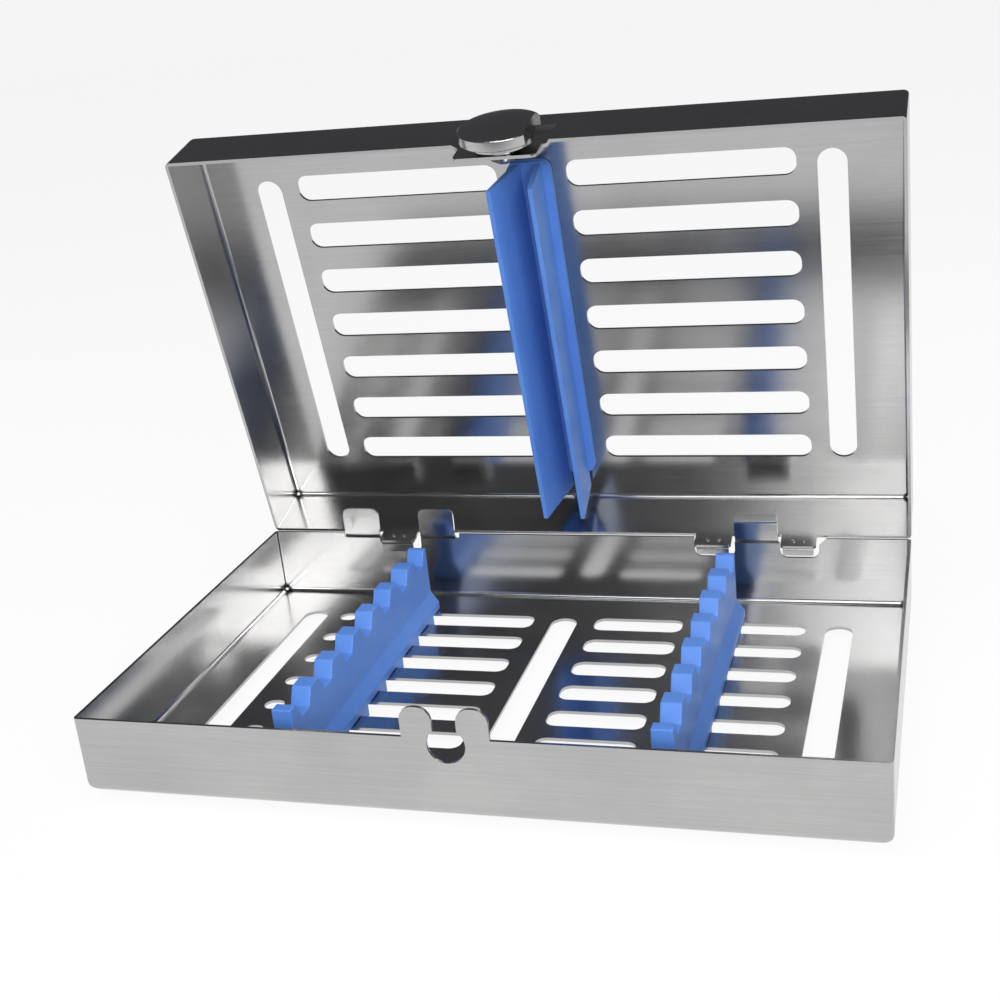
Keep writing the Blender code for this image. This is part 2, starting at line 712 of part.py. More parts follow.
def hinge_hooks(hinge):
    """Bent strips welded to the outer side of the tongues, lips pointing outwards."""
    names = ("left", "middle", "right")
    lips = (HOOK_LIP_LONG, HOOK_LIP_SHORT, HOOK_LIP_SHORT)
    for name, lip, (low, high) in zip(names, lips, tongue_ranges()):
        inner = SEAT_GAP
        bottom = RIM_GAP / 2 - TONGUE_LENGTH
        bend = (inner + HOOK_SHEET + HOOK_BEND, bottom + HOOK_SHEET + HOOK_BEND)
        outline = [(inner, HOOK_ABOVE_RIM), (inner, bottom), (inner + lip, bottom)]
        outline += [(inner + lip, bottom + HOOK_SHEET)]
        outline += arc(bend, HOOK_BEND, 270, 180, ARC_STEPS // 2)
        outline += [(inner + HOOK_SHEET, HOOK_ABOVE_RIM)]
        middle = (low + high) / 2
        width = high - low - 2 * HOOK_INSET
        mesh = extruded("hinge_hook_" + name, [outline], width, FLAT_TO_YZ, (middle, 0, 0))
        add_steel("hinge_hook_" + name, mesh, hinge)


def lid_holder(hinge):
    """A soft strip under the lid's web with two leaning lips, held by studs through the panel."""
    outer = RIM_GAP / 2 + LID_HEIGHT
    top = outer - SHEET - SEAT_GAP
    root_z = top - HOLDER_THICKNESS / 2
    tip_z = RIM_GAP / 2 - LIP_BELOW_RIM
    x_range = (MIDDLE_X - HOLDER_WIDTH / 2, MIDDLE_X + HOLDER_WIDTH / 2)
    y_range = (HOLDER_FRONT - REAR, HOLDER_REAR - REAR)
    outline = rounded_rectangle(x_range, y_range, HOLDER_CORNER)
    mesh = extruded("lid_holder", [outline], HOLDER_THICKNESS, shift=(0, 0, root_z))
    strip = add_silicone("lid_holder", mesh, hinge)

    lips = []
    for side, lean in zip((-1, 1), LIP_LEANS):
        near = MIDDLE_X + side * (LIP_ROOT - LIP_THICKNESS / 2)
        far = MIDDLE_X + side * (LIP_ROOT + LIP_THICKNESS / 2)
        lips.append([(near, root_z), (near + lean, tip_z), (far + lean, tip_z), (far, root_z)])
    front = HOLDER_FRONT + LIP_FRONT_INSET
    rear = HOLDER_REAR + LIP_REAR_OVERHANG
    middle = (front + rear) / 2 - REAR
    lip_mesh = extruded("holder_lips", lips, rear - front, FLAT_TO_XZ, (0, middle, 0))
    combine(strip, add_helper("holder_lips", lip_mesh, hinge), "UNION")

    places = [(MIDDLE_X, y) for y in stud_places()]
    head_low = outer + SEAT_GAP
    shaft_z = (root_z, head_low + STUD_HEAD / 2)
    head_z = (head_low, head_low + STUD_HEAD)
    shafts = cylinders("holder_shafts", hinge, places, STUD_RADIUS, shaft_z)
    heads = cylinders("holder_heads", hinge, places, STUD_HEAD_RADIUS, head_z)
    combine(strip, shafts, "UNION")
    combine(strip, heads, "UNION")


def latch_knob(latch_axis):
    """A domed disc with a flat on one side that ends in a step."""
    skirt_top = KNOB_LIFT + KNOB_SKIRT
    dome_radius = (KNOB_RADIUS**2 + KNOB_DOME**2) / (2 * KNOB_DOME)
    dome_centre = skirt_top + KNOB_DOME - dome_radius
    profile = []
    for step in range(DOME_STEPS):
        radius = (KNOB_RADIUS - KNOB_EDGE) * step / (DOME_STEPS - 1)
        profile.append((radius, dome_centre + sqrt(dome_radius**2 - radius**2)))
    profile += [
        (KNOB_RADIUS, skirt_top - KNOB_EDGE),
        (KNOB_RADIUS, KNOB_LIFT + KNOB_EDGE),
        (KNOB_RADIUS - KNOB_EDGE, KNOB_LIFT),
        (0, KNOB_LIFT),
    ]
    knob = turned("latch_knob", profile, latch_axis)
    flat = bmesh.new()
    size = (KNOB_RADIUS, 2 * KNOB_RADIUS, 4 * KNOB_SKIRT, 1)
    place = (KNOB_FLAT + KNOB_RADIUS / 2, KNOB_RADIUS - KNOB_STEP_BELOW, skirt_top)
    matrix = Matrix.Translation(place) @ Matrix.Diagonal(size)
    bmesh.ops.create_cube(flat, size=1, matrix=matrix)
    combine(knob, add_helper("knob_flat", to_mesh("knob_flat", flat), latch_axis), "DIFFERENCE")


def latch_post(latch_axis):
    """The lug with two flats, a shank through the pad and a riveted end."""
    lug_low = SEAT_GAP - PAD_STEP
    lug_high = KNOB_LIFT - SEAT_GAP
    rivet_high = -PAD_STEP - SHEET - RETAINER_THICKNESS - 2 * SEAT_GAP
    profile = [
        (0, lug_high),
        (LUG_RADIUS, lug_high),
        (LUG_RADIUS, lug_low),
        (SHANK_RADIUS, lug_low),
        (SHANK_RADIUS, rivet_high),
        (RIVET_RADIUS, rivet_high),
        (SHANK_RADIUS, rivet_high - RIVET_HEIGHT),
        (0, rivet_high - RIVET_HEIGHT),
    ]
    post = turned("latch_post", profile, latch_axis)
    sides = bmesh.new()
    middle = (lug_low + lug_high) / 2
    for side in (-1, 1):
        place = (side * (LUG_ACROSS_FLATS + LUG_RADIUS) / 2, 0, middle)
        size = (LUG_RADIUS, 3 * LUG_RADIUS, lug_high - lug_low + 2 * SEAT_GAP, 1)
        matrix = Matrix.Translation(place) @ Matrix.Diagonal(size)
        bmesh.ops.create_cube(sides, size=1, matrix=matrix)
    combine(post, add_helper("post_flats", to_mesh("post_flats", sides), latch_axis), "DIFFERENCE")


def latch(latch_axis):
    """Knob, post, washer and retainer, seen from the wall's outer face, Z pointing outwards."""
    latch_knob(latch_axis)
    latch_post(latch_axis)
    washer_high = KNOB_LIFT - SEAT_GAP
    washer_z = (washer_high - WASHER_THICKNESS, washer_high)
    ring("latch_washer", latch_axis, (LUG_RADIUS + RUNNING_GAP, WASHER_RADIUS), washer_z)
    retainer_high = -PAD_STEP - SHEET - SEAT_GAP
    retainer_z = (retainer_high - RETAINER_THICKNESS, retainer_high)
    ring("latch_retainer", latch_axis, (SHANK_RADIUS + RUNNING_GAP, RETAINER_RADIUS), retainer_z)


def rear_overhang():
    """How far the open lid's rear fold reaches behind the hinge axis."""
    fold_y = -FOLD_RADIUS
    fold_z = RIM_GAP / 2 + LID_HEIGHT - FOLD_RADIUS
    return fold_y * cos(OPEN) + fold_z * sin(OPEN) + FOLD_RADIUS


def build():
    start()
    frame = add_empty("box_frame", None, (0, -rear_overhang() / 2, 0))
    hinge_place = (0, REAR, RIM + RIM_GAP / 2)
    hinge = add_empty("lid_hinge", frame, hinge_place, (-OPEN, 0, 0))
    latch_place = (MIDDLE_X, -DEPTH, -KEYHOLE_BELOW_RIM - RIM_GAP / 2)
    latch_axis = add_empty("latch_axis", hinge, latch_place, (radians(90), 0, 0))
    base_tray(frame)
    rack("rack_left", frame, LEFT + LEFT_RACK_MARGIN, FLOOR_SLOT)
    rack("rack_right", frame, RIGHT - RIGHT_RACK_MARGIN, RIGHT_OUTER_WIDTH)
    lid_shell(hinge, latch_axis)
    hinge_hooks(hinge)
    lid_holder(hinge)
    latch(latch_axis)


build()
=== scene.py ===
"""Looks of the sterilization box: folded steel shells, blue silicone racks and the latch.

The tray is modelled on the ground, and the lid as it lies when closed, seen from its hinge.
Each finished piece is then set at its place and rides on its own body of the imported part.
"""

from math import atan2, cos, hypot, pi, radians, sin

import bpy
from mathutils import Matrix, Vector


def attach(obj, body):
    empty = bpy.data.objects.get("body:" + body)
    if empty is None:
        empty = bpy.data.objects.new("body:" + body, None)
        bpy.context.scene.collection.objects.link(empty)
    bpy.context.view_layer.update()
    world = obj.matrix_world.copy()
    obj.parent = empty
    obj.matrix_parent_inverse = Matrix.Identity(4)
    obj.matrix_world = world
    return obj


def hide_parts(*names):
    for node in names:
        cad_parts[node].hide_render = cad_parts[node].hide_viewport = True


MM = 0.001
FACING_FRONT = (pi / 2, 0, 0)

# Tolerance of a test on places, overrun of a cutter, and inset of a sheet in a wall
TINY = 0.00001
OVER = 1.5 * MM
FLUSH = 0.02 * MM

# Folded sheets of the tray and the lid
WIDTH = 180.0 * MM
DEPTH = 114.0 * MM
SHEET = 0.8 * MM
FOLD_RADIUS, INNER_FOLD = 2.7 * MM, 1.1 * MM
SEAM_RADIUS, INNER_SEAM = 1.0 * MM, 0.3 * MM
WORN_EDGE = 0.17 * MM
DRAIN_RADIUS = 0.45 * MM
LEFT, RIGHT = -WIDTH / 2, WIDTH / 2
FRONT, REAR = -DEPTH / 2, DEPTH / 2

# Gap between pieces that touch, and the middle of keyhole, latch and strip
SEAT_GAP = 0.2 * MM
MIDDLE_X = -1.0 * MM

# Tray, and the two ears round the keyhole of its front wall
FLOOR = 2.5 * MM
RIM = 21.78 * MM
EAR_SIDES = ((-10.8 * MM, -3.7 * MM), (1.7 * MM, 8.8 * MM))
EAR_TOP = RIM + 7.2 * MM
EAR_CORNER = 3.2 * MM
KEYHOLE_Z = RIM - 1.6 * MM
KEYHOLE_RADIUS = 4.3 * MM
NECK_HALF = 2.7 * MM
NECK_TOP = RIM + 9 * MM

# Rear wall of the tray: sides of the hinge notches with a chamfer at the right, and the tabs
NOTCHES = (
    (-56.3 * MM, -44.9 * MM, 0),
    (33.5 * MM, 44.3 * MM, 0),
    (56.3 * MM, 66.5 * MM, 2.0 * MM),
)
NOTCH_BOTTOM = RIM - 5.5 * MM
NOTCH_CORNER = 2.0 * MM
TAB_NICK = 0.9 * MM
TAB_ROOT = RIM - 1.3 * MM
TAB_START = TAB_ROOT - 0.6 * MM
TAB_STEP_BOTTOM, TAB_STEP_TOP = TAB_ROOT + 0.1 * MM, RIM - 0.1 * MM
TAB_Y = REAR - FLUSH - 1.1 * MM
TAB_BEND = 0.35 * MM
UPRIGHT = ((TAB_Y, TAB_STEP_TOP), (TAB_Y, RIM + 7.8 * MM))
SPRING = (
    (TAB_Y, TAB_STEP_TOP),
    (TAB_Y - 1.3 * MM, RIM + 5.2 * MM),
    (TAB_Y - 0.75 * MM, RIM + 7.3 * MM),
)
TABS = (
    ((-67.3 * MM, -56.7 * MM), UPRIGHT, 2.0 * MM),
    ((-44.5 * MM, -34.2 * MM), UPRIGHT, 2.0 * MM),
    ((44.6 * MM, 56.0 * MM), SPRING, 0.3 * MM),
)

# Slots: the ends, width and corner radius of each column, the rows, and the long slots
LONG_SLOT_HALF = 3.5 * MM
TRAY_COLUMNS = (
    (-48.5 * MM, -8.7 * MM, 7.3 * MM, 2.6 * MM),
    (8.4 * MM, 32.1 * MM, 7.3 * MM, 2.6 * MM),
    (37.0 * MM, 64.2 * MM, 6.3 * MM, 2.6 * MM),
    (-65.0 * MM, -59.9 * MM, 4.6 * MM, 2.2 * MM),
)
TRAY_ROWS = [13 * row * MM for row in range(-3, 4)]
TRAY_LONG_SLOTS = (-72.6 * MM, 0, 72.6 * MM)
TRAY_LONG_ENDS = (-41.9 * MM, 41.9 * MM)
LID_COLUMNS = (
    (-64.0 * MM, -9.95 * MM, 7.0 * MM, 2.9 * MM),
    (7.95 * MM, 64.0 * MM, 7.0 * MM, 2.9 * MM),
)
LID_ROWS = [(-57.8 + 13.4 * row) * MM for row in range(-3, 4)]
LID_LONG_SLOTS = (-72.3 * MM, 72.3 * MM)
LID_LONG_ENDS = (-100.6 * MM, -14.0 * MM)

# Lid, with the sides of its three tongues, and its holes
LID_TOP = 18.15 * MM
LID_RIM = 0.05 * MM
TONGUES = (
    (-55.8 * MM, -45.4 * MM),
    (34.0 * MM, 43.8 * MM),
    (56.8 * MM, 66.0 * MM),
)
TONGUE_BOTTOM = LID_RIM - 5.1 * MM
TONGUE_CORNER = 0.8 * MM
STUD_PLACES = [(-96.85 + 26.8 * stud) * MM for stud in range(4)]
STUD_HOLE = 2.5 * MM
POST_HOLE = 2.5 * MM

# Latch pad, pressed in by its depth, with sloped sides, and its flap below the rim
PAD_X = -2.4 * MM
PAD_HALF = 12.5 * MM
PAD_TOP = 9.95 * MM
PAD_BOTTOM = LID_RIM - 6.0 * MM
PAD_DEPTH = 1.85 * MM
PAD_SHRINK = 0.24 * MM
PAD_SLOPE = 2.06 * MM
PAD_RIGHT_SLOPE = 0.42 * PAD_SLOPE
PAD_BEND = 0.5 * MM
PAD_INNER_START, PAD_OUTER_START = 0.5 * MM, -0.3 * MM
FLAP_HALF = 10.2 * MM
FLAP_FRONT, FLAP_REAR = -DEPTH + 0.9 * MM, -DEPTH + 3 * MM
FLAP_CORNER = 1.2 * MM

# Hinge hooks with the length of their lips, and the rings of the spot welds
HOOK_LIPS = {"left": 2.5 * MM, "middle": 2.1 * MM, "right": 2.1 * MM}
HOOK_SHEET = 0.5 * MM
HOOK_TOP = 2.6 * MM
HOOK_MARGIN = 0.6 * MM
HOOK_CORNER = 0.7 * MM
HOOK_BEND = 0.5 * MM
HOOK_WORN_EDGE = 0.08 * MM
WELD_SHARES = (0.36, 0.66)
WELD_RADII = (0.55 * MM, 0.45 * MM)
WELD_WIRE = 0.12 * MM
WELD_Z = LID_RIM - 2.9 * MM

# Stamped ring and scratch on the front of the left tab
MARK_Y = REAR - 2.05 * MM
STAMP_PLACE = (-64.3 * MM, MARK_Y, RIM + 4.6 * MM)
STAMP_RADIUS, STAMP_WIRE = 0.62 * MM, 0.09 * MM
SCRATCH_PLACE = (-64.6 * MM, MARK_Y, RIM + 3.0 * MM)
SCRATCH_RADIUS, SCRATCH_LENGTH = 0.07 * MM, 1.7 * MM
SCRATCH_LEAN = (0, 0.1, 0)

# Silicone racks: foot, blade with its notches, and pegs
RACK_FRONT, RACK_REAR = FRONT + 8.25 * MM, REAR - 11.25 * MM
RACK_BOTTOM, RACK_TOP = FLOOR + SHEET + SEAT_GAP, RIM + 0.1 * MM
FOOT_HALF = 4.5 * MM
FOOT_TOP = FLOOR + 3.2 * MM
BLADE_BOTTOM = FLOOR + 6.3 * MM
BLADE_SHARE = 4.8 / 9.0
TEETH_BOTTOM = RACK_TOP - 3.9 * MM
CUTTER_TOP = RACK_TOP + 1.0 * MM
CUTTER_HALF = 5 * MM
CUTTER_LEAN_SHARE = 0.55
NOTCH_FLAT_HALF = 2.15 * MM
NOTCH_STEP = 13.5 * MM
LAST_NOTCH = RACK_REAR - 1.8 * MM - 4.3 * MM
PEG_SIDE = 3.9 * MM
PEG_TOP = RACK_BOTTOM + 1 * MM
PEG_CORNER = 1.2 * MM
RACK_EDGE, SOFT_EDGE = 0.32 * MM, 0.3 * MM

# Silicone strip of the lid: its two lips, with how far each leans, and its studs
STRIP_FRONT, STRIP_REAR = -102.5 * MM, -10.8 * MM
STRIP_HALF = 5.6 * MM
STRIP_TOP = LID_TOP - SHEET - SEAT_GAP
STRIP_UNDER = STRIP_TOP - 2.2 * MM
STRIP_CORNER = 2.6 * MM
LIP_FRONT, LIP_REAR = STRIP_FRONT + 0.4 * MM, STRIP_REAR + 5.2 * MM
LIP_LEANS = ((-1, -3.6 * MM), (1, 1.8 * MM))
LIP_OUT = 2.5 * MM
LIP_HALF = 1.0 * MM
LIP_SINK = 1.0 * MM
LIP_TIP = LID_RIM - 0.4 * MM
LIP_PINCH = 0.45 * MM
STUD_RADIUS, STUD_LENGTH = 2.2 * MM, 3.4 * MM
HEAD_RADIUS, HEAD_LENGTH = 3.6 * MM, 1.4 * MM
HEAD_Z = LID_TOP + 0.9 * MM

# Latch, seen from its place: radius and height of the rings of the knob's side, and its dome
KNOB_START = (9.75 * MM, 2.2 * MM)
KNOB_SIDE = (
    (10.0 * MM, 2.45 * MM),
    (10.0 * MM, 4.6 * MM),
    (9.93 * MM, 4.75 * MM),
    (9.75 * MM, 4.88 * MM),
)
DOME_RISE = 1.3 * MM
DOME_STEP = pi / 18
KNOB_FLAT_LOW = (7.4 * MM, -14.6 * MM, 0)
KNOB_FLAT_HIGH = (17 * MM, 5.4 * MM, 9 * MM)
KNOB_EDGE = 0.22 * MM
RETAINER_Z = -0.65 * MM
RETAINER_RADIUS, RETAINER_LENGTH = 2.9 * MM, 0.9 * MM
RETAINER_EDGE = 0.2 * MM

# Places of the tray, of the lid with its hinge, and of the latch
TRAY_BACK = -8.502 * MM
HINGE = Vector((0, REAR + TRAY_BACK, 21.85 * MM))
OPEN = radians(75.5)
LATCH_PLACE = Vector((MIDDLE_X, -DEPTH, -1.75 * MM))
ON_TRAY = Matrix.Translation((0, TRAY_BACK, 0))
ON_LID = Matrix.Translation(HINGE) @ Matrix.Rotation(-OPEN, 4, "X")
ON_LATCH = ON_LID @ Matrix.Translation(LATCH_PLACE) @ Matrix.Rotation(radians(90), 4, "X")

# Dark and light tones of the finishes, and the painted shade that darkens the inner corners of the
# pans
SHELL_TONES = ((0.43, 0.43, 0.43, 1), (0.56, 0.555, 0.55, 1))
KNOB_TONES = ((0.46, 0.455, 0.45, 1), (0.56, 0.555, 0.55, 1))
SILICONE_TONES = ((0.080, 0.205, 0.59, 1), (0.105, 0.250, 0.65, 1))
PAINTED_SHADE_TONE = (0.03, 0.027, 0.025, 1)
PAINTED_SHADE_START, PAINTED_SHADE_END = 0.0021, 0.0028
PAINTED_SHADE_UNEVEN = 0.0012
ABOVE_PANEL = 5.0 * MM
ROUGHNESS_SPREAD = 0.03
BRUSH_RELIEF = 0.00002
SKIN_RELIEF = 0.0001
SIDE_WALL_NORMAL = 0.7

# Camera as solved from the photograph
CAMERA_AT = Vector((100.66, -325.76, 174.62)) * MM
CAMERA_RIGHT = Vector((0.9582, 0.26954, -0.09596))
CAMERA_AHEAD = Vector((-0.28593, 0.89029, -0.35445))
FOCAL_PIXELS = 1506.6
CENTRE_PIXELS = (505.0, 520.9)
FRAME_PIXELS = 1000
SENSOR = 36
NEAREST = 0.01

# Studio: cards, and lamps with heading, height, size, radiance and whether the steel shows them
PALE, DARK, CARD_ROUGHNESS = 0.9, 0.02, 0.9
GLOW = 0.9
WORLD_COLOUR = (0.07, 0.07, 0.075, 1)
FLOOR_SIZE, FLOOR_PLACE = (9, 9), (0, 0, -0.0002)
BACKDROP_SIZE, BACKDROP_PLACE = (9, 0.5), (0, 3.5, 0.24)
CLOTH_SIZE, CLOTH_PLACE = (3, 1.6), (0, -0.99, 0.001)
LAMP_AIM = Vector((0, 0, 0.04))
LAMP_DISTANCE = 1.0
LAMPS = (
    ("main_box", 28, 22, (0.62, 0.5), 8.5, True),
    ("narrow_box", 4, 32, (0.22, 0.62), 3.6, True),
    ("rim_box", -16, 60, (0.3, 0.25), 5, True),
    ("low_box", 1, 1, (0.14, 0.14), 4, True),
    ("top_fill", 0, 85, (0.5, 0.5), 3, False),
    ("right_fill", 65, 45, (0.5, 0.5), 1.5, False),
    ("low_fill", 80, 8, (0.5, 0.3), 3.5, False),
    ("front_fill", -10, 45, (0.5, 0.5), 0.8, False),
    ("left_fill", -50, 50, (0.5, 0.5), 2, False),
)


def deselect():
    """Leaves edit mode and selects nothing."""
    if bpy.context.object and bpy.context.object.mode != "OBJECT":
        bpy.ops.object.mode_set(mode="OBJECT")
    bpy.ops.object.select_all(action="DESELECT")


def pick(piece):
    """Selects one piece alone."""
    deselect()
    piece.select_set(True)
    bpy.context.view_layer.objects.active = piece


def edit_where(piece, kind, test):
    """Opens a piece in edit mode, with those corners, edges or faces selected whose points pass."""
    pick(piece)
    bpy.ops.object.mode_set(mode="EDIT")
    bpy.ops.mesh.select_mode(type=kind)
    bpy.ops.mesh.select_all(action="DESELECT")
    bpy.ops.object.mode_set(mode="OBJECT")
    mesh = piece.data
    elements = {"VERT": mesh.vertices, "EDGE": mesh.edges, "FACE": mesh.polygons}[kind]
    for element in elements:
        numbers = [element.index] if kind == "VERT" else element.vertices
        element.select = test([mesh.vertices[number].co for number in numbers])
    bpy.ops.object.mode_set(mode="EDIT")


def round_edges(piece, test, width, segments, kind="EDGE"):
    edit_where(piece, kind, test)
    affect = "VERTICES" if kind == "VERT" else "EDGES"
    bpy.ops.mesh.bevel(offset=width, segments=segments, profile=0.5, affect=affect)
    bpy.ops.object.mode_set(mode="OBJECT")


def move_where(piece, test, shift):
    edit_where(piece, "VERT", test)
    bpy.ops.transform.translate(value=shift)
    bpy.ops.object.mode_set(mode="OBJECT")


def face_outwards(piece):
    pick(piece)
    bpy.ops.object.mode_set(mode="EDIT")
    bpy.ops.mesh.select_all(action="SELECT")
    bpy.ops.mesh.normals_make_consistent(inside=False)
    bpy.ops.object.mode_set(mode="OBJECT")


def runs_along(axis):
    """A test for edges that run along one axis."""
    others = [side for side in range(3) if side != axis]

    def test(points):
        return all(abs(points[0][side] - points[1][side]) < TINY for side in others)

    return test


def level_at(axis, value):
    """A test for elements whose points all lie at one value of an axis."""

    def test(points):
        return all(abs(point[axis] - value) < TINY for point in points)

    return test


def runs_back_at(z):
    """A test for edges that run from front to rear at one height."""

    def test(points):
        return runs_along(1)(points) and level_at(2, z)(points)

    return test


def apply_place(name):
    """Names the new object and takes its place, turn and scale into its mesh."""
    piece = bpy.context.object
    piece.name = name
    bpy.ops.object.transform_apply(location=True, rotation=True, scale=True)
    return piece


def add_block(name, low, high):
    deselect()
    low, high = Vector(low), Vector(high)
    bpy.ops.mesh.primitive_cube_add(size=1, location=(low + high) / 2, scale=high - low)
    return apply_place(name)


def add_rod(name, middle, radius, length, turn=(0, 0, 0), sides=48):
    deselect()
    bpy.ops.mesh.primitive_cylinder_add(
        vertices=sides, radius=radius, depth=length, location=middle, rotation=turn
    )
    return apply_place(name)


def add_ring(name, middle, radius, wire, sides):
    """A thin ring that lies on an upright face."""
    deselect()
    bpy.ops.mesh.primitive_torus_add(
        major_radius=radius,
        minor_radius=wire,
        major_segments=sides,
        minor_segments=8,
        location=middle,
        rotation=FACING_FRONT,
    )
    return apply_place(name)


def combine(piece, other, operation):
    """Cuts another shape from a piece, or fuses it on, and uses it up."""
    pick(piece)
    boolean = piece.modifiers.new(operation, "BOOLEAN")
    boolean.operation = operation
    boolean.object = other
    boolean.solver = "EXACT"
    bpy.ops.object.modifier_apply(modifier=boolean.name)
    bpy.data.objects.remove(other)


def cut(piece, other):
    combine(piece, other, "DIFFERENCE")


def fuse(piece, other):
    combine(piece, other, "UNION")


def join(pieces):
    """One object of several."""
    deselect()
    for piece in pieces:
        piece.select_set(True)
    bpy.context.view_layer.objects.active = pieces[0]
    if len(pieces) > 1:
        bpy.ops.object.join()
    return bpy.context.object


def shifted_copy(piece, shift):
    """A copy with its own mesh, moved by a shift."""
    copy = piece.copy()
    copy.data = piece.data.copy()
    copy.data.transform(Matrix.Translation(shift))
    bpy.context.scene.collection.objects.link(copy)
    return copy


def repeat(piece, shifts):
    """A joined row of copies of a piece, the first where it stands."""
    first = Vector(shifts[0])
    return join([piece] + [shifted_copy(piece, Vector(shift) - first) for shift in shifts[1:]])


def apply_modifier(piece, modifier):
    pick(piece)
    bpy.ops.object.modifier_apply(modifier=modifier.name)


def round_sharp_edges(piece, width=WORN_EDGE, segments=2, angle=28):
    bevel = piece.modifiers.new("worn", "BEVEL")
    bevel.width = width
    bevel.segments = segments
    bevel.limit_method = "ANGLE"
    bevel.angle_limit = radians(angle)
    bevel.use_clamp_overlap = True
    apply_modifier(piece, bevel)


def shade_evenly(piece):
    """Smooth over the roundings and flat elsewhere."""
    pick(piece)
    bpy.ops.object.shade_smooth_by_angle(angle=radians(38))
    weighted = piece.modifiers.new("weighted", "WEIGHTED_NORMAL")
    weighted.keep_sharp = True
    weighted.weight = 80
    apply_modifier(piece, weighted)


def wear_edges(piece, width, segments=2, angle=28):
    """Rounds the edges of a metal piece a little."""
    round_sharp_edges(piece, width, segments, angle)
    shade_evenly(piece)


def soften(piece, width):
    """Rounds the edges of a moulded piece."""
    wear_edges(piece, width, segments=3, angle=30)


def add_pan(name, y_range, panel_z, end_z):
    """A folded pan: panel at panel_z, walls to end_z, mitred seams at the four corners."""
    up = 1 if end_z > panel_z else -1
    middle = (y_range[0] + y_range[1]) / 2
    shells = []
    for inset, fold, seam in ((0, FOLD_RADIUS, SEAM_RADIUS), (SHEET, INNER_FOLD, INNER_SEAM)):
        half_width = WIDTH / 2 - inset
        half_depth = (y_range[1] - y_range[0]) / 2 - inset
        start = panel_z + up * inset
        end = end_z + (up * OVER if inset else 0)
        low = (-half_width, middle - half_depth, min(start, end))
        high = (half_width, middle + half_depth, max(start, end))
        shell = add_block(name, low, high)
        round_edges(shell, level_at(2, start), fold, 8)

        def on_mitre(points, half_width=half_width, half_depth=half_depth):
            gaps = [
                (half_width - abs(point.x)) - (half_depth - abs(point.y - middle))
                for point in points
            ]
            near = hypot(points[0].x - points[1].x, points[0].y - points[1].y) < FOLD_RADIUS
            return near and all(abs(gap) < TINY for gap in gaps)

        round_edges(shell, on_mitre, seam, 3)
        shells.append(shell)
    cut(shells[0], shells[1])
    return shells[0]


def add_slot_cutter(x_range, y_range, z, corner):
    """A block with rounded ends, as long as a slot and through the sheet."""
    low = (x_range[0], y_range[0], z - 2 * OVER)
    high = (x_range[1], y_range[1], z + 2 * OVER)
    cutter = add_block("slot", low, high)
    round_edges(cutter, runs_along(2), corner - TINY, 8)
    return cutter


def add_slots(columns, rows, long_slots, long_ends, z):
    """Cutters for a panel: the same rows in each column, and long slots beside them."""
    cutters = []
    for left, right, width, corner in columns:
        y_range = (rows[0] - width / 2, rows[0] + width / 2)
        first = add_slot_cutter((left, right), y_range, z, corner)
        cutters.append(repeat(first, [(0, row, 0) for row in rows]))
    for x in long_slots:
        x_range = (x - LONG_SLOT_HALF, x + LONG_SLOT_HALF)
        cutters.append(add_slot_cutter(x_range, long_ends, z, LONG_SLOT_HALF))
    return join(cutters)


def add_strip(name, x_range, path, thickness, corner, bend):
    """A bent strip: a plane drawn out along a path in y and z, then rounded and thickened."""
    deselect()
    (y0, z0), (y1, z1) = path[:2]
    length = hypot(y1 - y0, z1 - z0)
    bpy.ops.mesh.primitive_plane_add(
        size=1,
        location=((x_range[0] + x_range[1]) / 2, (y0 + y1) / 2, (z0 + z1) / 2),
        rotation=(atan2(z1 - z0, y1 - y0), 0, 0),
    )
    bpy.context.object.scale = (x_range[1] - x_range[0], length, 1)
    strip = apply_place(name)

    def at(place):
        def test(points):
            return all(hypot(p.y - place[0], p.z - place[1]) < TINY for p in points)

        return test

    for last, new in zip(path[1:], path[2:]):
        edit_where(strip, "EDGE", at(last))
        shift = (0, new[0] - last[0], new[1] - last[1])
        bpy.ops.mesh.extrude_region_move(TRANSFORM_OT_translate={"value": shift})
        bpy.ops.object.mode_set(mode="OBJECT")
    round_edges(strip, at(path[-1]), corner, 6, kind="VERT")
    for place in path[1:-1]:
        round_edges(strip, at(place), bend, 4)
    solidify = strip.modifiers.new("sheet", "SOLIDIFY")
    solidify.thickness = thickness
    solidify.offset = 1
    solidify.use_even_offset = True
    apply_modifier(strip, solidify)
    face_outwards(strip)
    return strip


def drill_corners(piece, middle_y, z, outwards):
    """Small drain holes where two walls and the panel meet."""
    for side in (-1, 1):
        for end in (-1, 1):
            place = Vector((side * WIDTH / 2, middle_y + end * DEPTH / 2, z))
            out = Vector((side, end, outwards))
            place -= out * (INNER_FOLD + SHEET) / 3
            aim = out.to_track_quat("Z", "Y").to_euler()
            cut(piece, add_rod("drain", place, DRAIN_RADIUS, 4 * FOLD_RADIUS, aim, 20))


def place_piece(piece, matrix, body, material, nodes=()):
    """Sets a finished piece in the part's frame, with its place in its mesh."""
    piece.data.transform(matrix)
    piece.data.update()
    piece.data.materials.clear()
    piece.data.materials.append(material)
    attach(piece, body)
    if nodes:
        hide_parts(*nodes)


# Tray


def trim_above_rim(tray):
    """Takes the walls down to the rim, all but the two ears."""
    low = (LEFT - OVER, FRONT - OVER, RIM)
    high = (RIGHT + OVER, REAR + OVER, EAR_TOP + OVER)
    trim = add_block("trim", low, high)
    for left, right in EAR_SIDES:
        low = (left, FRONT - 2 * OVER, RIM - OVER)
        high = (right, FRONT + 2 * OVER, EAR_TOP)
        ear = add_block("ear", low, high)
        round_edges(ear, runs_back_at(EAR_TOP), EAR_CORNER, 8)
        cut(trim, ear)
    cut(tray, trim)


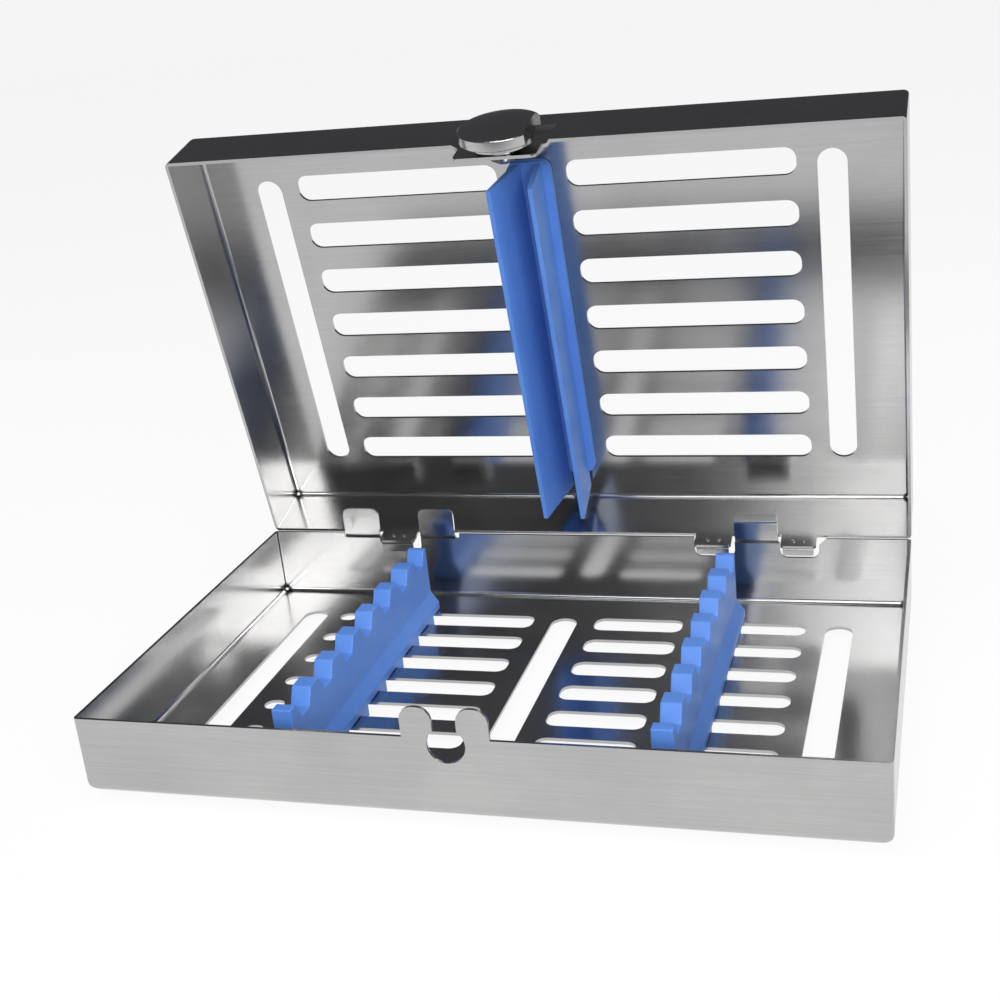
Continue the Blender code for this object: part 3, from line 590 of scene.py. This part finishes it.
def cut_keyhole(tray):
    """A round hole with a neck up to the rim, between the ears."""
    place = (MIDDLE_X, FRONT, KEYHOLE_Z)
    cut(tray, add_rod("keyhole", place, KEYHOLE_RADIUS, 4 * OVER, FACING_FRONT, 56))
    low = (MIDDLE_X - NECK_HALF, FRONT - 2 * OVER, KEYHOLE_Z)
    high = (MIDDLE_X + NECK_HALF, FRONT + 2 * OVER, NECK_TOP)
    cut(tray, add_block("neck", low, high))


def cut_notch(tray, left, right, chamfer):
    """A notch with rounded lower corners, whose right side may slope at the rim."""
    low = (left, REAR - 2 * OVER, NOTCH_BOTTOM)
    high = (right, REAR + 2 * OVER, RIM + OVER)
    notch = add_block("notch", low, high)
    round_edges(notch, runs_back_at(NOTCH_BOTTOM), NOTCH_CORNER, 6)
    if chamfer:
        low = (right - OVER, REAR - 2 * OVER, RIM - chamfer)
        high = (right + OVER, REAR + 2 * OVER, RIM + OVER)
        slope = add_block("slope", low, high)
        move_where(slope, lambda p: p[0].z > RIM and p[0].x > right, (chamfer, 0, 0))
        move_where(slope, lambda p: p[0].z < RIM and p[0].x > right, (-OVER, 0, 0))
        cut(tray, slope)
    cut(tray, notch)


def add_wall_tab(tray, x_range, path, corner):
    """Opens the rear wall between two nicks and grows a stepped tab there."""
    low = (x_range[0] - TAB_NICK, REAR - 2 * OVER, TAB_ROOT)
    high = (x_range[1] + TAB_NICK, REAR + 2 * OVER, RIM + OVER)
    cut(tray, add_block("window", low, high))
    y = REAR - FLUSH
    points = [(y, TAB_START), (y, TAB_STEP_BOTTOM), *path]
    fuse(tray, add_strip("tab", x_range, points, SHEET - 2 * FLUSH, corner, TAB_BEND))


def model_tray(steel):
    tray = add_pan("tray", (FRONT, REAR), FLOOR, EAR_TOP)
    trim_above_rim(tray)
    cut_keyhole(tray)
    for notch in NOTCHES:
        cut_notch(tray, *notch)
    for tab in TABS:
        add_wall_tab(tray, *tab)
    z = FLOOR + SHEET / 2
    cut(tray, add_slots(TRAY_COLUMNS, TRAY_ROWS, TRAY_LONG_SLOTS, TRAY_LONG_ENDS, z))
    round_sharp_edges(tray)
    drill_corners(tray, 0, FLOOR, -1)
    shade_evenly(tray)
    place_piece(tray, ON_TRAY, "base", steel, ["base_tray"])


def model_tab_marks(steel):
    """A shallow stamped ring and a scratch on the front of the left tab."""
    ring = add_ring("tab_marks", STAMP_PLACE, STAMP_RADIUS, STAMP_WIRE, 28)
    scratch = add_rod(
        "scratch", SCRATCH_PLACE, SCRATCH_RADIUS, SCRATCH_LENGTH, SCRATCH_LEAN, 10
    )
    marks = join([ring, scratch])
    bpy.ops.object.shade_smooth()
    place_piece(marks, ON_TRAY, "base", steel)


# Lid


def pad_block(name, near, far, shrink, bottom):
    """A block that narrows inwards, most at the left and the top. Its near side and its far
    side are measured from the outer face of the front wall."""
    half, top = PAD_HALF - shrink, PAD_TOP - shrink
    far_y = -DEPTH + far
    block = add_block(name, (PAD_X - half, -DEPTH + near, bottom), (PAD_X + half, far_y, top))

    def is_far(point):
        return point.y > far_y - TINY

    move_where(block, lambda p: is_far(p[0]) and p[0].x < PAD_X, (PAD_SLOPE, 0, 0))
    move_where(block, lambda p: is_far(p[0]) and p[0].x > PAD_X, (-PAD_RIGHT_SLOPE, 0, 0))
    move_where(block, lambda p: is_far(p[0]) and p[0].z > top - TINY, (0, 0, -PAD_SLOPE))
    around = lambda p: level_at(1, far_y)(p) and not level_at(2, bottom)(p)
    round_edges(block, around, PAD_BEND, 3)
    return block


def press_pad(lid):
    """Presses the latch pad into the front wall and lets it reach below the rim."""
    fuse(lid, pad_block("grow", PAD_INNER_START, PAD_DEPTH, 0, PAD_BOTTOM))
    far, bottom = PAD_DEPTH - SHEET, PAD_BOTTOM - OVER
    cut(lid, pad_block("press", PAD_OUTER_START, far, PAD_SHRINK, bottom))


def trim_below_rim(lid):
    """Takes the walls up to the rim, all but the tongues and the flap of the pad."""
    low = (LEFT - OVER, -DEPTH - OVER, PAD_BOTTOM - OVER)
    high = (RIGHT + OVER, OVER, LID_RIM)
    trim = add_block("trim", low, high)
    for left, right in TONGUES:
        low = (left, -2 * OVER, TONGUE_BOTTOM)
        high = (right, 2 * OVER, LID_RIM + OVER)
        tongue = add_block("tongue", low, high)
        round_edges(tongue, runs_back_at(TONGUE_BOTTOM), TONGUE_CORNER, 4)
        cut(trim, tongue)
    low = (PAD_X - FLAP_HALF, FLAP_FRONT, PAD_BOTTOM)
    high = (PAD_X + FLAP_HALF, FLAP_REAR, LID_RIM + OVER)
    flap = add_block("flap", low, high)
    round_edges(flap, runs_back_at(PAD_BOTTOM), FLAP_CORNER, 5)
    cut(trim, flap)
    cut(lid, trim)


def model_lid(steel):
    lid = add_pan("lid", (-DEPTH, 0), LID_TOP, PAD_BOTTOM)
    press_pad(lid)
    trim_below_rim(lid)
    cut(lid, add_rod("post_hole", LATCH_PLACE, POST_HOLE, 6 * OVER, FACING_FRONT, 32))
    z = LID_TOP - SHEET / 2
    cutters = [add_slots(LID_COLUMNS, LID_ROWS, LID_LONG_SLOTS, LID_LONG_ENDS, z)]
    for y in STUD_PLACES:
        cutters.append(add_rod("stud_hole", (MIDDLE_X, y, z), STUD_HOLE, 4 * OVER, sides=32))
    cut(lid, join(cutters))
    round_sharp_edges(lid)
    drill_corners(lid, -DEPTH / 2, LID_TOP, 1)
    shade_evenly(lid)
    place_piece(lid, ON_LID, "lid", steel, ["lid_shell"])


def model_hooks(steel):
    """Bent strips spot-welded to the outer side of the tongues."""
    y, bottom = SEAT_GAP, TONGUE_BOTTOM
    for (side, lip), (left, right) in zip(HOOK_LIPS.items(), TONGUES):
        path = [(y, HOOK_TOP), (y, bottom), (y + lip, bottom)]
        x_range = (left + HOOK_MARGIN, right - HOOK_MARGIN)
        hook = add_strip("hook_" + side, x_range, path, HOOK_SHEET, HOOK_CORNER, HOOK_BEND)
        wear_edges(hook, HOOK_WORN_EDGE)
        place_piece(hook, ON_LID, "lid", steel, ["hinge_hook_" + side])


def model_weld_dots(steel):
    """Shallow rings that spot welding leaves on the inner side of the tongues."""
    dots = []
    for left, right in TONGUES:
        for share, radius in zip(WELD_SHARES, WELD_RADII):
            place = (left + share * (right - left), -SHEET, WELD_Z)
            dots.append(add_ring("weld_dots", place, radius, WELD_WIRE, 20))
    marks = join(dots)
    bpy.ops.object.shade_smooth()
    place_piece(marks, ON_LID, "lid", steel)


# Silicone


def cut_comb(rack, x):
    """Seven flat-bottomed notches with sloped sides across the blade, from the rear."""
    lean = CUTTER_LEAN_SHARE * (CUTTER_TOP - TEETH_BOTTOM)
    half = NOTCH_FLAT_HALF + lean
    low = (x - CUTTER_HALF, LAST_NOTCH - half, TEETH_BOTTOM)
    high = (x + CUTTER_HALF, LAST_NOTCH + half, CUTTER_TOP)
    cutter = add_block("notch", low, high)
    lower = level_at(2, TEETH_BOTTOM)
    move_where(cutter, lambda p: lower(p) and p[0].y < LAST_NOTCH, (0, lean, 0))
    move_where(cutter, lambda p: lower(p) and p[0].y > LAST_NOTCH, (0, -lean, 0))
    for notch in range(7):
        cut(rack, shifted_copy(cutter, (0, -NOTCH_STEP * notch, 0)))
    bpy.data.objects.remove(cutter)


def model_rack(name, node, x, peg_half, silicone):
    """A comb: wide foot, sloped shoulders, a blade with seven notches, and pegs below."""
    low, high = (x - FOOT_HALF, RACK_FRONT, RACK_BOTTOM), (x + FOOT_HALF, RACK_REAR, FOOT_TOP)
    rack = add_block(name, low, high)
    edit_where(rack, "FACE", level_at(2, FOOT_TOP))
    rise = (0, 0, BLADE_BOTTOM - FOOT_TOP)
    bpy.ops.mesh.extrude_region_move(TRANSFORM_OT_translate={"value": rise})
    bpy.ops.transform.resize(value=(BLADE_SHARE, 1, 1))
    rise = (0, 0, RACK_TOP - BLADE_BOTTOM)
    bpy.ops.mesh.extrude_region_move(TRANSFORM_OT_translate={"value": rise})
    bpy.ops.object.mode_set(mode="OBJECT")
    cut_comb(rack, x)
    soften(rack, RACK_EDGE)

    low = (x - PEG_SIDE, TRAY_ROWS[0] - peg_half, 0)
    high = (x + PEG_SIDE, TRAY_ROWS[0] + peg_half, PEG_TOP)
    peg = add_block("peg", low, high)
    round_edges(peg, runs_along(2), PEG_CORNER, 5)
    soften(peg, SOFT_EDGE)
    comb = join([rack, repeat(peg, [(0, row, 0) for row in TRAY_ROWS])])
    place_piece(comb, ON_TRAY, "base", silicone, [node])


def model_holder(silicone):
    """The strip under the lid's web with two lips that lean apart, and its studs."""
    low = (MIDDLE_X - STRIP_HALF, STRIP_FRONT, STRIP_UNDER)
    high = (MIDDLE_X + STRIP_HALF, STRIP_REAR, STRIP_TOP)
    strip = add_block("lid_strip", low, high)
    round_edges(strip, runs_along(2), STRIP_CORNER, 6)
    at_tip = level_at(2, LIP_TIP)
    for side, lean in LIP_LEANS:
        x = MIDDLE_X + side * LIP_OUT
        low = (x - LIP_HALF, LIP_FRONT, LIP_TIP)
        high = (x + LIP_HALF, LIP_REAR, STRIP_UNDER + LIP_SINK)
        lip = add_block("lip", low, high)
        move_where(lip, lambda p: at_tip(p) and p[0].x < x, (LIP_PINCH, 0, 0))
        move_where(lip, lambda p: at_tip(p) and p[0].x > x, (-LIP_PINCH, 0, 0))
        move_where(lip, at_tip, (lean, 0, 0))
        fuse(strip, lip)
    for y in STUD_PLACES:
        stud = (MIDDLE_X, y, LID_TOP)
        fuse(strip, add_rod("stud", stud, STUD_RADIUS, STUD_LENGTH, sides=32))
        head = (MIDDLE_X, y, HEAD_Z)
        fuse(strip, add_rod("head", head, HEAD_RADIUS, HEAD_LENGTH, sides=40))
    soften(strip, SOFT_EDGE)
    place_piece(strip, ON_LID, "lid", silicone, ["lid_holder"])


# Latch


def model_knob(steel):
    """A domed disc, drawn out ring by ring from a circle, with a flat and a step in its side."""
    radius, height = KNOB_START
    deselect()
    bpy.ops.mesh.primitive_circle_add(
        vertices=96, radius=radius, fill_type="NGON", location=(0, 0, height)
    )
    knob = apply_place("knob")
    rings = list(KNOB_SIDE)
    dome_radius, dome_bottom = KNOB_SIDE[-1]
    for step in range(1, 9):
        share = cos(step * DOME_STEP)
        rings.append((share * dome_radius, dome_bottom + DOME_RISE * (1 - share**2)))
    pick(knob)
    bpy.ops.object.mode_set(mode="EDIT")
    bpy.ops.mesh.select_all(action="SELECT")
    for new_radius, new_height in rings:
        rise = (0, 0, new_height - height)
        bpy.ops.mesh.extrude_region_move(TRANSFORM_OT_translate={"value": rise})
        share = new_radius / radius
        bpy.ops.transform.resize(value=(share, share, 1))
        radius, height = new_radius, new_height
    face_outwards(knob)
    cut(knob, add_block("flat", KNOB_FLAT_LOW, KNOB_FLAT_HIGH))
    wear_edges(knob, KNOB_EDGE, 3, 32)
    place_piece(knob, ON_LATCH, "latch", steel, ["latch_knob"])


def model_retainer(steel):
    """The riveted end of the post, a washer on the inner side of the pad."""
    place = (0, 0, RETAINER_Z)
    ring = add_rod("retainer", place, RETAINER_RADIUS, RETAINER_LENGTH, sides=40)
    wear_edges(ring, RETAINER_EDGE)
    place_piece(ring, ON_LATCH, "latch", steel, ["latch_retainer"])


# Materials


def plug(tree, node, inputs):
    """Fills sockets of a node, each with the output of another node or with a plain value."""
    for name, source in inputs.items():
        if isinstance(source, bpy.types.NodeSocket):
            tree.links.new(source, node.inputs[name])
        else:
            node.inputs[name].default_value = source
    return node


def calculate(tree, operation, *sources):
    node = tree.nodes.new("ShaderNodeMath")
    node.operation = operation
    return plug(tree, node, dict(enumerate(sources))).outputs[0]


def calculate_vector(tree, operation, *sources):
    """Vector math. A distance and a dot product come out as a plain value."""
    node = tree.nodes.new("ShaderNodeVectorMath")
    node.operation = operation
    plug(tree, node, dict(enumerate(sources)))
    return node.outputs["Value" if operation in ("DISTANCE", "DOT_PRODUCT") else "Vector"]


def turn_about_x(tree, source, angle, centre=(0, 0, 0)):
    node = tree.nodes.new("ShaderNodeVectorRotate")
    node.rotation_type = "X_AXIS"
    return plug(tree, node, {"Vector": source, "Angle": angle, "Center": centre}).outputs[0]


def noise(tree, source, scale, detail=2.0, roughness=0.5):
    node = tree.nodes.new("ShaderNodeTexNoise")
    inputs = {"Vector": source, "Scale": scale, "Detail": detail, "Roughness": roughness}
    return plug(tree, node, inputs).outputs["Fac"]


def map_range(tree, source, low, high, start=0.3, end=0.7):
    """Stretches a value from the range start to end over the range low to high."""
    node = tree.nodes.new("ShaderNodeMapRange")
    inputs = {"Value": source, "From Min": start, "From Max": end, "To Min": low, "To Max": high}
    return plug(tree, node, inputs).outputs[0]


def mix_colours(tree, factor, first, second):
    node = tree.nodes.new("ShaderNodeMix")
    node.data_type = "RGBA"
    return plug(tree, node, {"Factor": factor, 6: first, 7: second}).outputs[2]


def bump(tree, height, strength, distance):
    node = tree.nodes.new("ShaderNodeBump")
    inputs = {"Strength": strength, "Distance": distance, "Height": height}
    return plug(tree, node, inputs).outputs[0]


def new_group(name, inputs, outputs):
    """A node group with its input values, and the sockets at its start and its end."""
    tree = bpy.data.node_groups.new(name, "ShaderNodeTree")
    for label, value in inputs.items():
        kind = "NodeSocketFloat" if isinstance(value, float) else "NodeSocketVector"
        socket = tree.interface.new_socket(name=label, in_out="INPUT", socket_type=kind)
        socket.default_value = value
    for label in outputs:
        tree.interface.new_socket(name=label, in_out="OUTPUT", socket_type="NodeSocketFloat")
    start = tree.nodes.new("NodeGroupInput").outputs
    end = tree.nodes.new("NodeGroupOutput").inputs
    return tree, start, end


def use_group(tree, group, inputs):
    node = tree.nodes.new("ShaderNodeGroup")
    node.node_tree = group
    return plug(tree, node, inputs).outputs


def new_material(name):
    """A material with its node tree and its surface."""
    material = bpy.data.materials.new(name)
    material.use_nodes = True
    tree = material.node_tree
    return material, tree, tree.nodes["Principled BSDF"]


def brushed_group():
    """Streaks of a brushed sheet along x, turned up the side walls, with soft clouds."""
    tree, start, end = new_group(
        "brushed_sheet",
        {"Turn": 0.0, "Streak Length": 0.03, "Streak Width": 0.0004, "Cloud Size": 0.02},
        ("Streaks", "Clouds"),
    )
    places = tree.nodes.new("ShaderNodeTexCoord").outputs
    place = turn_about_x(tree, places["Object"], start["Turn"])
    along = calculate(tree, "DIVIDE", 1, start["Streak Length"])
    across = calculate(tree, "DIVIDE", 1, start["Streak Width"])
    scales = []
    for order in ((along, across, across), (across, across, along)):
        node = tree.nodes.new("ShaderNodeCombineXYZ")
        scales.append(plug(tree, node, dict(enumerate(order))).outputs[0])
    normal = plug(tree, tree.nodes.new("ShaderNodeSeparateXYZ"), {0: places["Normal"]})
    sideways = calculate(tree, "ABSOLUTE", normal.outputs["X"])
    is_side = calculate(tree, "GREATER_THAN", sideways, SIDE_WALL_NORMAL)
    scale = tree.nodes.new("ShaderNodeMix")
    scale.data_type = "VECTOR"
    plug(tree, scale, {"Factor": is_side, 4: scales[0], 5: scales[1]})
    stretched = calculate_vector(tree, "MULTIPLY", place, scale.outputs[1])
    tree.links.new(noise(tree, stretched, 1, 4, 0.65), end["Streaks"])
    cloud_scale = calculate(tree, "DIVIDE", 1, start["Cloud Size"])
    tree.links.new(noise(tree, place, cloud_scale, 3), end["Clouds"])
    return tree


def corner_shade_group():
    """Painted shade that darkens the four inner corners of a pan, on its inner side only.

    Faces that look away from the point Inside are the outer ones.
    """
    origin = (0, 0, 0)
    tree, start, end = new_group(
        "painted_corner_shade",
        {"Turn": 0.0, "Pivot": origin, "Middle": origin, "Inside": origin, "Corner": origin},
        ("Painted Shade",),
    )
    places = tree.nodes.new("ShaderNodeTexCoord").outputs
    place = turn_about_x(tree, places["Object"], start["Turn"], start["Pivot"])
    facing = turn_about_x(tree, places["Normal"], start["Turn"])
    from_inside = calculate_vector(tree, "SUBTRACT", place, start["Inside"])
    outward = calculate_vector(tree, "DOT_PRODUCT", facing, from_inside)
    is_inner = calculate(tree, "LESS_THAN", outward, 0)
    from_middle = calculate_vector(tree, "SUBTRACT", place, start["Middle"])
    mirrored = calculate_vector(tree, "ABSOLUTE", from_middle)
    distance = calculate_vector(tree, "DISTANCE", mirrored, start["Corner"])
    ragged = noise(tree, places["Object"], 900)
    uneven = calculate(tree, "MULTIPLY_ADD", ragged, PAINTED_SHADE_UNEVEN, distance)
    fade = map_range(tree, uneven, 1, 0, PAINTED_SHADE_START, PAINTED_SHADE_END)
    tree.links.new(calculate(tree, "MULTIPLY", fade, is_inner), end["Painted Shade"])
    return tree


def steel_material(name, group, tones, roughness, relief, turn=0.0, corner_shade=None):
    """Brushed steel. What the last argument holds is the group of the painted shade in the inner
    corners and its inputs.
    """
    material, tree, surface = new_material(name)
    brushed = use_group(tree, group, {"Turn": turn})
    streaks = map_range(tree, brushed["Streaks"], 0, 0.35)
    clouds = map_range(tree, brushed["Clouds"], 0, 0.4)
    both = calculate(tree, "ADD", streaks, clouds)
    shade = mix_colours(tree, both, *tones)
    if corner_shade:
        # Painted shade: the steel's colour is darkened in the inner corners of the pan
        marks = use_group(tree, corner_shade["group"], {"Turn": turn, **corner_shade["inputs"]})
        shade = mix_colours(tree, marks["Painted Shade"], shade, PAINTED_SHADE_TONE)
    smoother, rougher = roughness - ROUGHNESS_SPREAD, roughness + ROUGHNESS_SPREAD
    plug(tree, surface, {
        "Metallic": 1,
        "Base Color": shade,
        "Roughness": map_range(tree, both, smoother, rougher, 0, 1),
        "Normal": bump(tree, brushed["Streaks"], relief, BRUSH_RELIEF),
    })
    return material


def silicone_material():
    """Matte moulded silicone: a cloudy blue with a fine dull skin."""
    material, tree, surface = new_material("blue_silicone")
    place = tree.nodes.new("ShaderNodeTexCoord").outputs["Object"]
    clouds = map_range(tree, noise(tree, place, 45, 4), 0, 1)
    skin = noise(tree, place, 1600)
    plug(tree, surface, {
        "Subsurface Weight": 0.25,
        "Subsurface Radius": (0.3, 0.6, 1.0),
        "Subsurface Scale": 0.0015,
        "IOR": 1.41,
        "Base Color": mix_colours(tree, clouds, *SILICONE_TONES),
        "Roughness": map_range(tree, skin, 0.42, 0.54),
        "Normal": bump(tree, skin, 0.12, SKIN_RELIEF),
    })
    return material


# Studio


def add_card(name, size, place, colour, glow=0.0, turn=(0, 0, 0)):
    """A flat card of the studio. What glows of it is as bright to the camera as in the steel."""
    deselect()
    bpy.ops.mesh.primitive_plane_add(size=1, location=place, rotation=turn)
    card = bpy.context.object
    card.name = name
    card.scale = (*size, 1)
    bpy.ops.object.transform_apply(location=False, rotation=False, scale=True)
    material, tree, surface = new_material(name)
    plug(tree, surface, {"Base Color": (colour, colour, colour, 1), "Roughness": CARD_ROUGHNESS})
    if glow:
        lit = plug(tree, tree.nodes.new("ShaderNodeEmission"), {"Color": (1, 1, 1, 1)})
        path = tree.nodes.new("ShaderNodeLightPath").outputs
        seen = path["Is Camera Ray"]
        for ray in ("Is Glossy Ray", "Is Transmission Ray"):
            seen = calculate(tree, "MAXIMUM", seen, path[ray])
        share = calculate(tree, "MULTIPLY", seen, glow)
        mix = tree.nodes.new("ShaderNodeMixShader")
        plug(tree, mix, {0: share, 1: surface.outputs[0], 2: lit.outputs[0]})
        tree.links.new(mix.outputs[0], tree.nodes["Material Output"].inputs["Surface"])
    card.data.materials.append(material)
    return card


def add_softbox(name, heading, height, size, radiance, in_steel):
    """A lamp on a sphere round the box. Heading 0 is in front, and positive to the right."""
    heading, height = radians(heading), radians(height)
    away = Vector((sin(heading) * cos(height), -cos(heading) * cos(height), sin(height)))
    lamp = bpy.data.lights.new(name, "AREA")
    lamp.shape = "RECTANGLE"
    lamp.size, lamp.size_y = size
    lamp.energy = radiance * pi * size[0] * size[1]
    holder = bpy.data.objects.new(name, lamp)
    holder.location = LAMP_AIM + LAMP_DISTANCE * away
    holder.rotation_euler = (-away).to_track_quat("-Z", "Y").to_euler()
    holder.visible_glossy = in_steel
    bpy.context.scene.collection.objects.link(holder)


def add_studio():
    """A pale floor and backdrop, lamps, and a dark cloth in front that only the steel shows."""
    world = bpy.data.worlds.new("studio")
    bpy.context.scene.world = world
    world.use_nodes = True
    world.node_tree.nodes["Background"].inputs["Color"].default_value = WORLD_COLOUR
    add_card("pale_floor", FLOOR_SIZE, FLOOR_PLACE, PALE, GLOW)
    add_card("backdrop", BACKDROP_SIZE, BACKDROP_PLACE, PALE, GLOW, FACING_FRONT)
    cloth = add_card("dark_cloth", CLOTH_SIZE, CLOTH_PLACE, DARK)
    cloth.visible_camera = False
    for lamp in LAMPS:
        add_softbox(*lamp)


def add_camera():
    """The camera at the photograph's viewing angle."""
    ahead = CAMERA_AHEAD.normalized()
    right = (CAMERA_RIGHT - CAMERA_RIGHT.dot(ahead) * ahead).normalized()
    turn = Matrix((right, right.cross(ahead), -ahead)).transposed().to_4x4()
    camera = bpy.data.cameras.new("camera")
    camera.sensor_width = SENSOR
    camera.lens = FOCAL_PIXELS * SENSOR / FRAME_PIXELS
    camera.shift_x = (FRAME_PIXELS / 2 - CENTRE_PIXELS[0]) / FRAME_PIXELS
    camera.shift_y = (CENTRE_PIXELS[1] - FRAME_PIXELS / 2) / FRAME_PIXELS
    camera.clip_start = NEAREST
    holder = bpy.data.objects.new("camera", camera)
    holder.matrix_world = Matrix.Translation(CAMERA_AT) @ turn
    bpy.context.scene.collection.objects.link(holder)
    bpy.context.scene.camera = holder


def corner_shade_inputs(group, pivot, middle, rise):
    """Painted shade in the inner corners of one pan: pivot of its turn, middle of its panel, and
    the way to its inside.
    """
    inputs = {
        "Pivot": pivot,
        "Middle": middle,
        "Inside": middle + Vector((0, 0, rise)),
        "Corner": (WIDTH / 2 - SHEET, DEPTH / 2 - SHEET, 0),
    }
    return {"group": group, "inputs": inputs}


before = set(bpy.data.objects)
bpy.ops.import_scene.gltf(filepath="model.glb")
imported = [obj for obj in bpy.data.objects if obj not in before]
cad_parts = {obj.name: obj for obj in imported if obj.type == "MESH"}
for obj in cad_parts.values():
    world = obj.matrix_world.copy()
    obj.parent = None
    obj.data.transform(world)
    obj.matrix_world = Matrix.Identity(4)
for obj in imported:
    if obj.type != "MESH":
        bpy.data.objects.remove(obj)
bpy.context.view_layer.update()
bpy.context.scene.view_settings.view_transform = "Standard"
add_camera()
add_studio()

brushed = brushed_group()
corner_shade = corner_shade_group()
tray_middle = Vector((0, TRAY_BACK, FLOOR + SHEET))
lid_middle = HINGE + Vector((0, -DEPTH / 2, LID_TOP - SHEET))
# Painted shade in the inner corners of the tray and of the lid
tray_corner_shade = corner_shade_inputs(corner_shade, (0, 0, 0), tray_middle, ABOVE_PANEL)
lid_corner_shade = corner_shade_inputs(corner_shade, HINGE, lid_middle, -ABOVE_PANEL)
tray_steel = steel_material("tray_steel", brushed, SHELL_TONES, 0.19, 0.1, corner_shade=tray_corner_shade)
lid_steel = steel_material("lid_steel", brushed, SHELL_TONES, 0.19, 0.1, OPEN, lid_corner_shade)
hook_steel = steel_material("hook_steel", brushed, SHELL_TONES, 0.22, 0.16, OPEN)
knob_steel = steel_material("knob_steel", brushed, KNOB_TONES, 0.24, 0.1, OPEN)
blue_silicone = silicone_material()

model_tray(tray_steel)
model_lid(lid_steel)
model_hooks(hook_steel)
model_weld_dots(hook_steel)
model_tab_marks(hook_steel)
model_rack("comb_left", "rack_left", -42.1 * MM, 3.35 * MM, blue_silicone)
model_rack("comb_right", "rack_right", 43.35 * MM, 2.85 * MM, blue_silicone)
model_holder(blue_silicone)
model_knob(knob_steel)
model_retainer(knob_steel)
for node in ("latch_post", "latch_washer"):
    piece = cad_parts[node]
    piece.data.materials.clear()
    piece.data.materials.append(knob_steel)

deselect()
